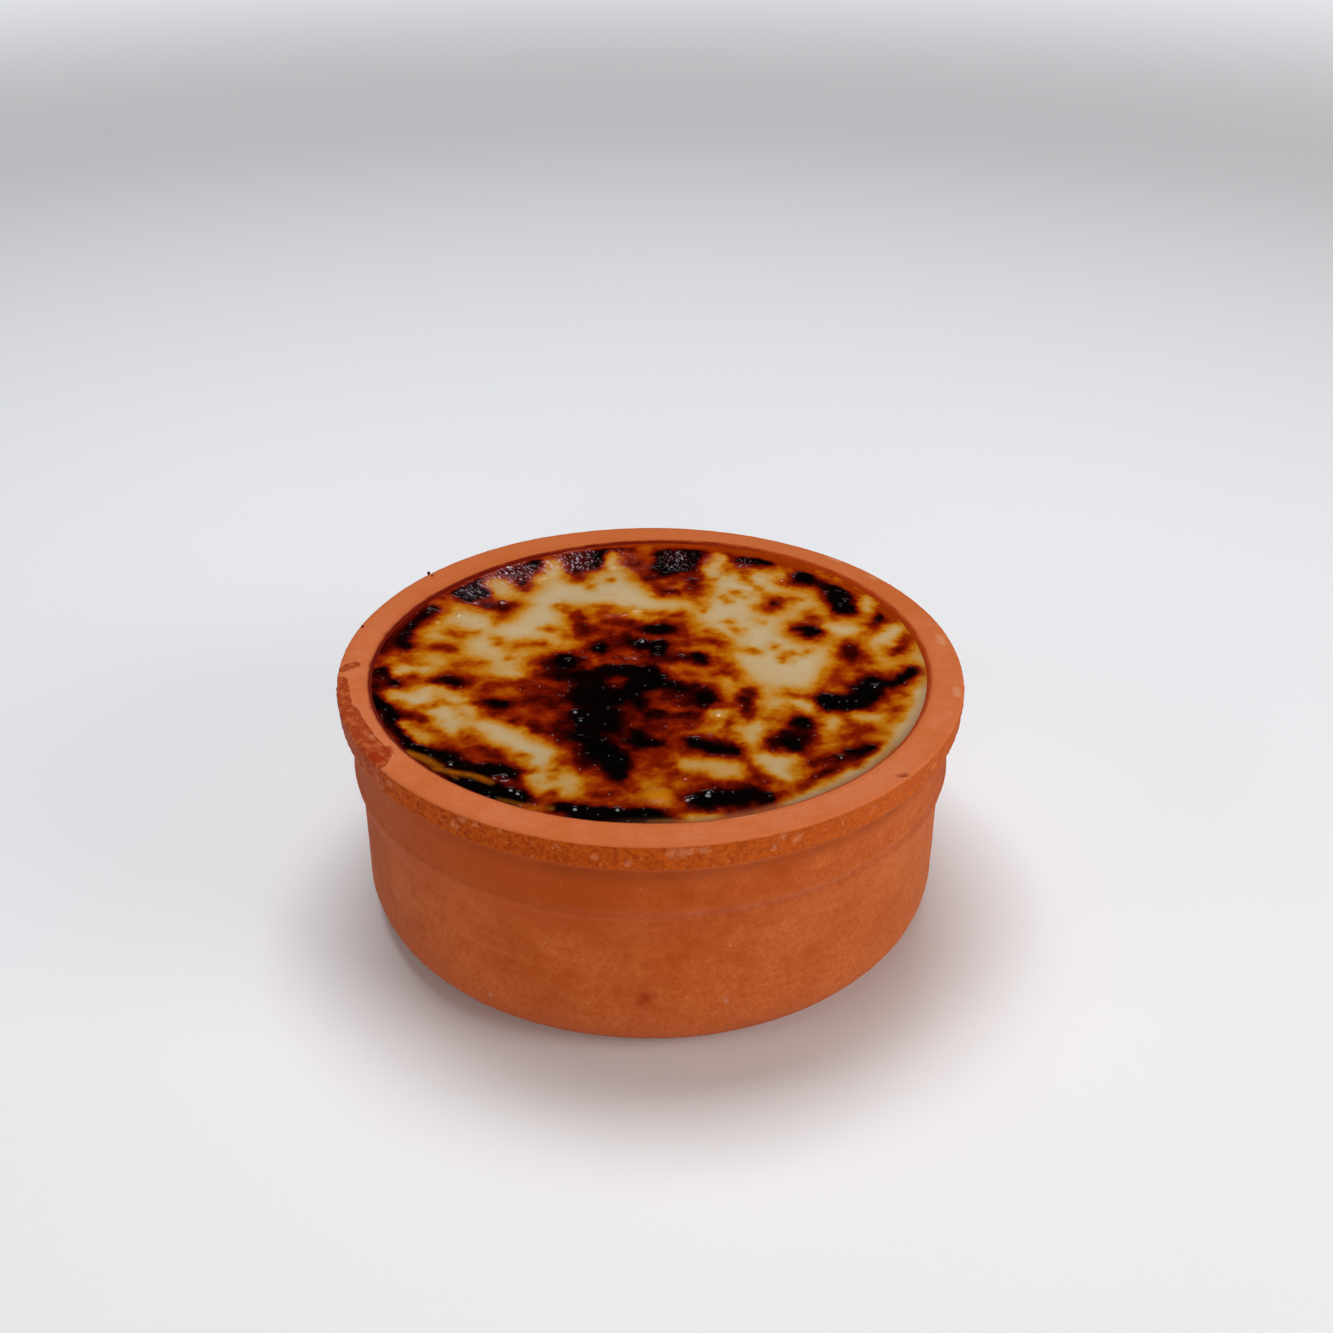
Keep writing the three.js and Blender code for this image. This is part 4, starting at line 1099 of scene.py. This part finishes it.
def buildCrumbs(top):
    finish = crumbFinish()
    for name, (x, y, long, wide, high, turn) in crumbs.items():
        shape = bmesh.new()
        bmesh.ops.create_icosphere(shape, subdivisions=3, radius=1)
        for vert in shape.verts:
            vert.co *= 1 + 0.3 * noise.noise(vert.co * 1.6 + Vector((x, y, 0)))
        bmesh.ops.scale(shape, vec=(long, wide, high), verts=shape.verts)
        turning = Matrix.Rotation(math.radians(turn), 3, "Z")
        bmesh.ops.rotate(shape, cent=(0, 0, 0), matrix=turning, verts=shape.verts)
        bmesh.ops.translate(shape, vec=(x, y, top + 0.5 * high), verts=shape.verts)
        piece = newPiece(name, shape, finish)
        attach(piece, "root")
    print("crumbs dropped:", len(crumbs))


def crumbFinish():
    crumb = Finish(bpy.data.materials.new("burnt_crumb"))
    grain = crumb.grain(0.4, 3, 0.6)
    tone = crumb.blend(crumb.step(0.35, 0.65, grain), colour(30, 8, 2), colour(86, 30, 8))
    bump = crumb.add("ShaderNodeBump", sockets={"Strength": 0.6, "Distance": 0.0001, "Height": grain})
    return crumb.finishWith({
        "Base Color": tone,
        "Roughness": 0.5 + (grain - 0.5) * 0.2,
        "Specular IOR Level": 0.3,
        "Normal": bump,
    })


# The studio: a pale floor, soft boxes and a camera

studio = {
    "floorSize": 8.0,  # metres
    "floorColour": (0.88, 0.88, 0.88, 1),
    "farGlow": (0.6, 0.61, 0.63, 1),  # keeps the floor pale beyond the reach of the boxes
    "farGlowFrom": (550, 1150),  # mm
    # where each soft box stands in metres, its two sides, its power in watts and its colour
    "softBoxes": {
        "overhead_box": ((-0.04, 0.18, 0.78), (0.50, 0.36), 4.5, (0.92, 0.95, 1.0)),
        "right_box": ((0.75, -0.35, 0.34), (0.50, 0.50), 3.5, (1.0, 0.98, 0.95)),
        "left_box": ((-0.75, -0.40, 0.36), (0.50, 0.50), 1.2, (1.0, 0.98, 0.96)),
        "front_box": ((0.0, -1.00, 0.30), (0.70, 0.40), 2.4, (1.0, 0.98, 0.96)),
    },
    "aimHeight": 0.03,
    "backdrop": 0.93,
    # the sine of the elevation and how bright the room is there
    "room": [(0.0, 0.6), (0.12, 0.45), (0.24, 0.004), (0.80, 0.004), (0.9, 0.3), (1.0, 0.4)],
    "cameraPlace": (0.0, -0.31113, 0.1811),  # from the middle of the rim
    "cameraTilt": 59.7001,  # degrees up from straight down
    "cameraTurn": -0.4801,
    "lens": 50.42,
    "sensor": 36,
}


def buildStudio(rimMiddle):
    scene = bpy.context.scene
    shape = bmesh.new()
    bmesh.ops.create_grid(shape, x_segments=1, y_segments=1, size=studio["floorSize"] / 2 / mm)
    paper = Finish(bpy.data.materials.new("pale_floor"))
    away = paper.add("ShaderNodeVectorMath", {"operation": "LENGTH"}, {0: paper.place}, output="Value")
    glow = paper.blend(paper.step(*studio["farGlowFrom"], away), (0, 0, 0, 1), studio["farGlow"])
    paper.finishWith({
        "Base Color": studio["floorColour"], "Roughness": 0.9, "Specular IOR Level": 0.0,
        "Emission Color": glow, "Emission Strength": 1.0,
    })
    floor = newPiece("studio_floor", shape, paper.owner)

    for name, (place, (width, depth), power, tint) in studio["softBoxes"].items():
        data = bpy.data.lights.new(name, "AREA")
        data.shape = "RECTANGLE"
        data.size, data.size_y = width, depth
        data.energy = power
        data.color = tint
        box = bpy.data.objects.new(name, data)
        box.location = place
        towards = Vector((0, 0, studio["aimHeight"])) - Vector(place)
        box.rotation_euler = towards.to_track_quat("-Z", "Y").to_euler()
        box.visible_glossy = name == "overhead_box"  # the low boxes would whiten the skin seen from behind
        scene.collection.objects.link(box)

    # the room is dark at the height that the flat skin mirrors, as in a studio with black cards
    room = Finish(bpy.data.worlds.new("studio_room"), "Generated", 1.0)
    scene.world = room.owner
    rise = room.add("ShaderNodeSeparateXYZ", sockets={0: room.place}, output="Z")
    light = room.ramp(rise, [(sine, (bright, bright, bright, 1)) for sine, bright in studio["room"]])
    seen = room.add("ShaderNodeLightPath", output="Is Camera Ray")
    backdrop = studio["backdrop"]
    shown = room.blend(seen, light, (backdrop, backdrop, backdrop, 1))
    glow = room.add("ShaderNodeBackground", sockets={"Color": shown, "Strength": 1.0})
    room.add("ShaderNodeOutputWorld", sockets={"Surface": glow})

    lens = bpy.data.cameras.new("camera")
    lens.lens = studio["lens"]
    lens.sensor_width = studio["sensor"]
    lens.clip_start = 0.01
    camera = bpy.data.objects.new("camera", lens)
    tilt = Matrix.Rotation(math.radians(studio["cameraTilt"]), 4, "X")
    turn = Matrix.Rotation(math.radians(studio["cameraTurn"]), 4, "Y")
    camera.matrix_world = Matrix.Translation(Vector(rimMiddle) + Vector(studio["cameraPlace"])) @ tilt @ turn
    scene.collection.objects.link(camera)
    scene.camera = camera
    scene.view_settings.view_transform = "Standard"
    print("studio lit with", len(studio["softBoxes"]), "soft boxes")


top = dishBox[1].z / mm
buildDish(clayDish)
buildHalva(clayDish)
buildCrumbs(top)
buildStudio((0, 0, dishBox[1].z))

bpy.context.view_layer.update()
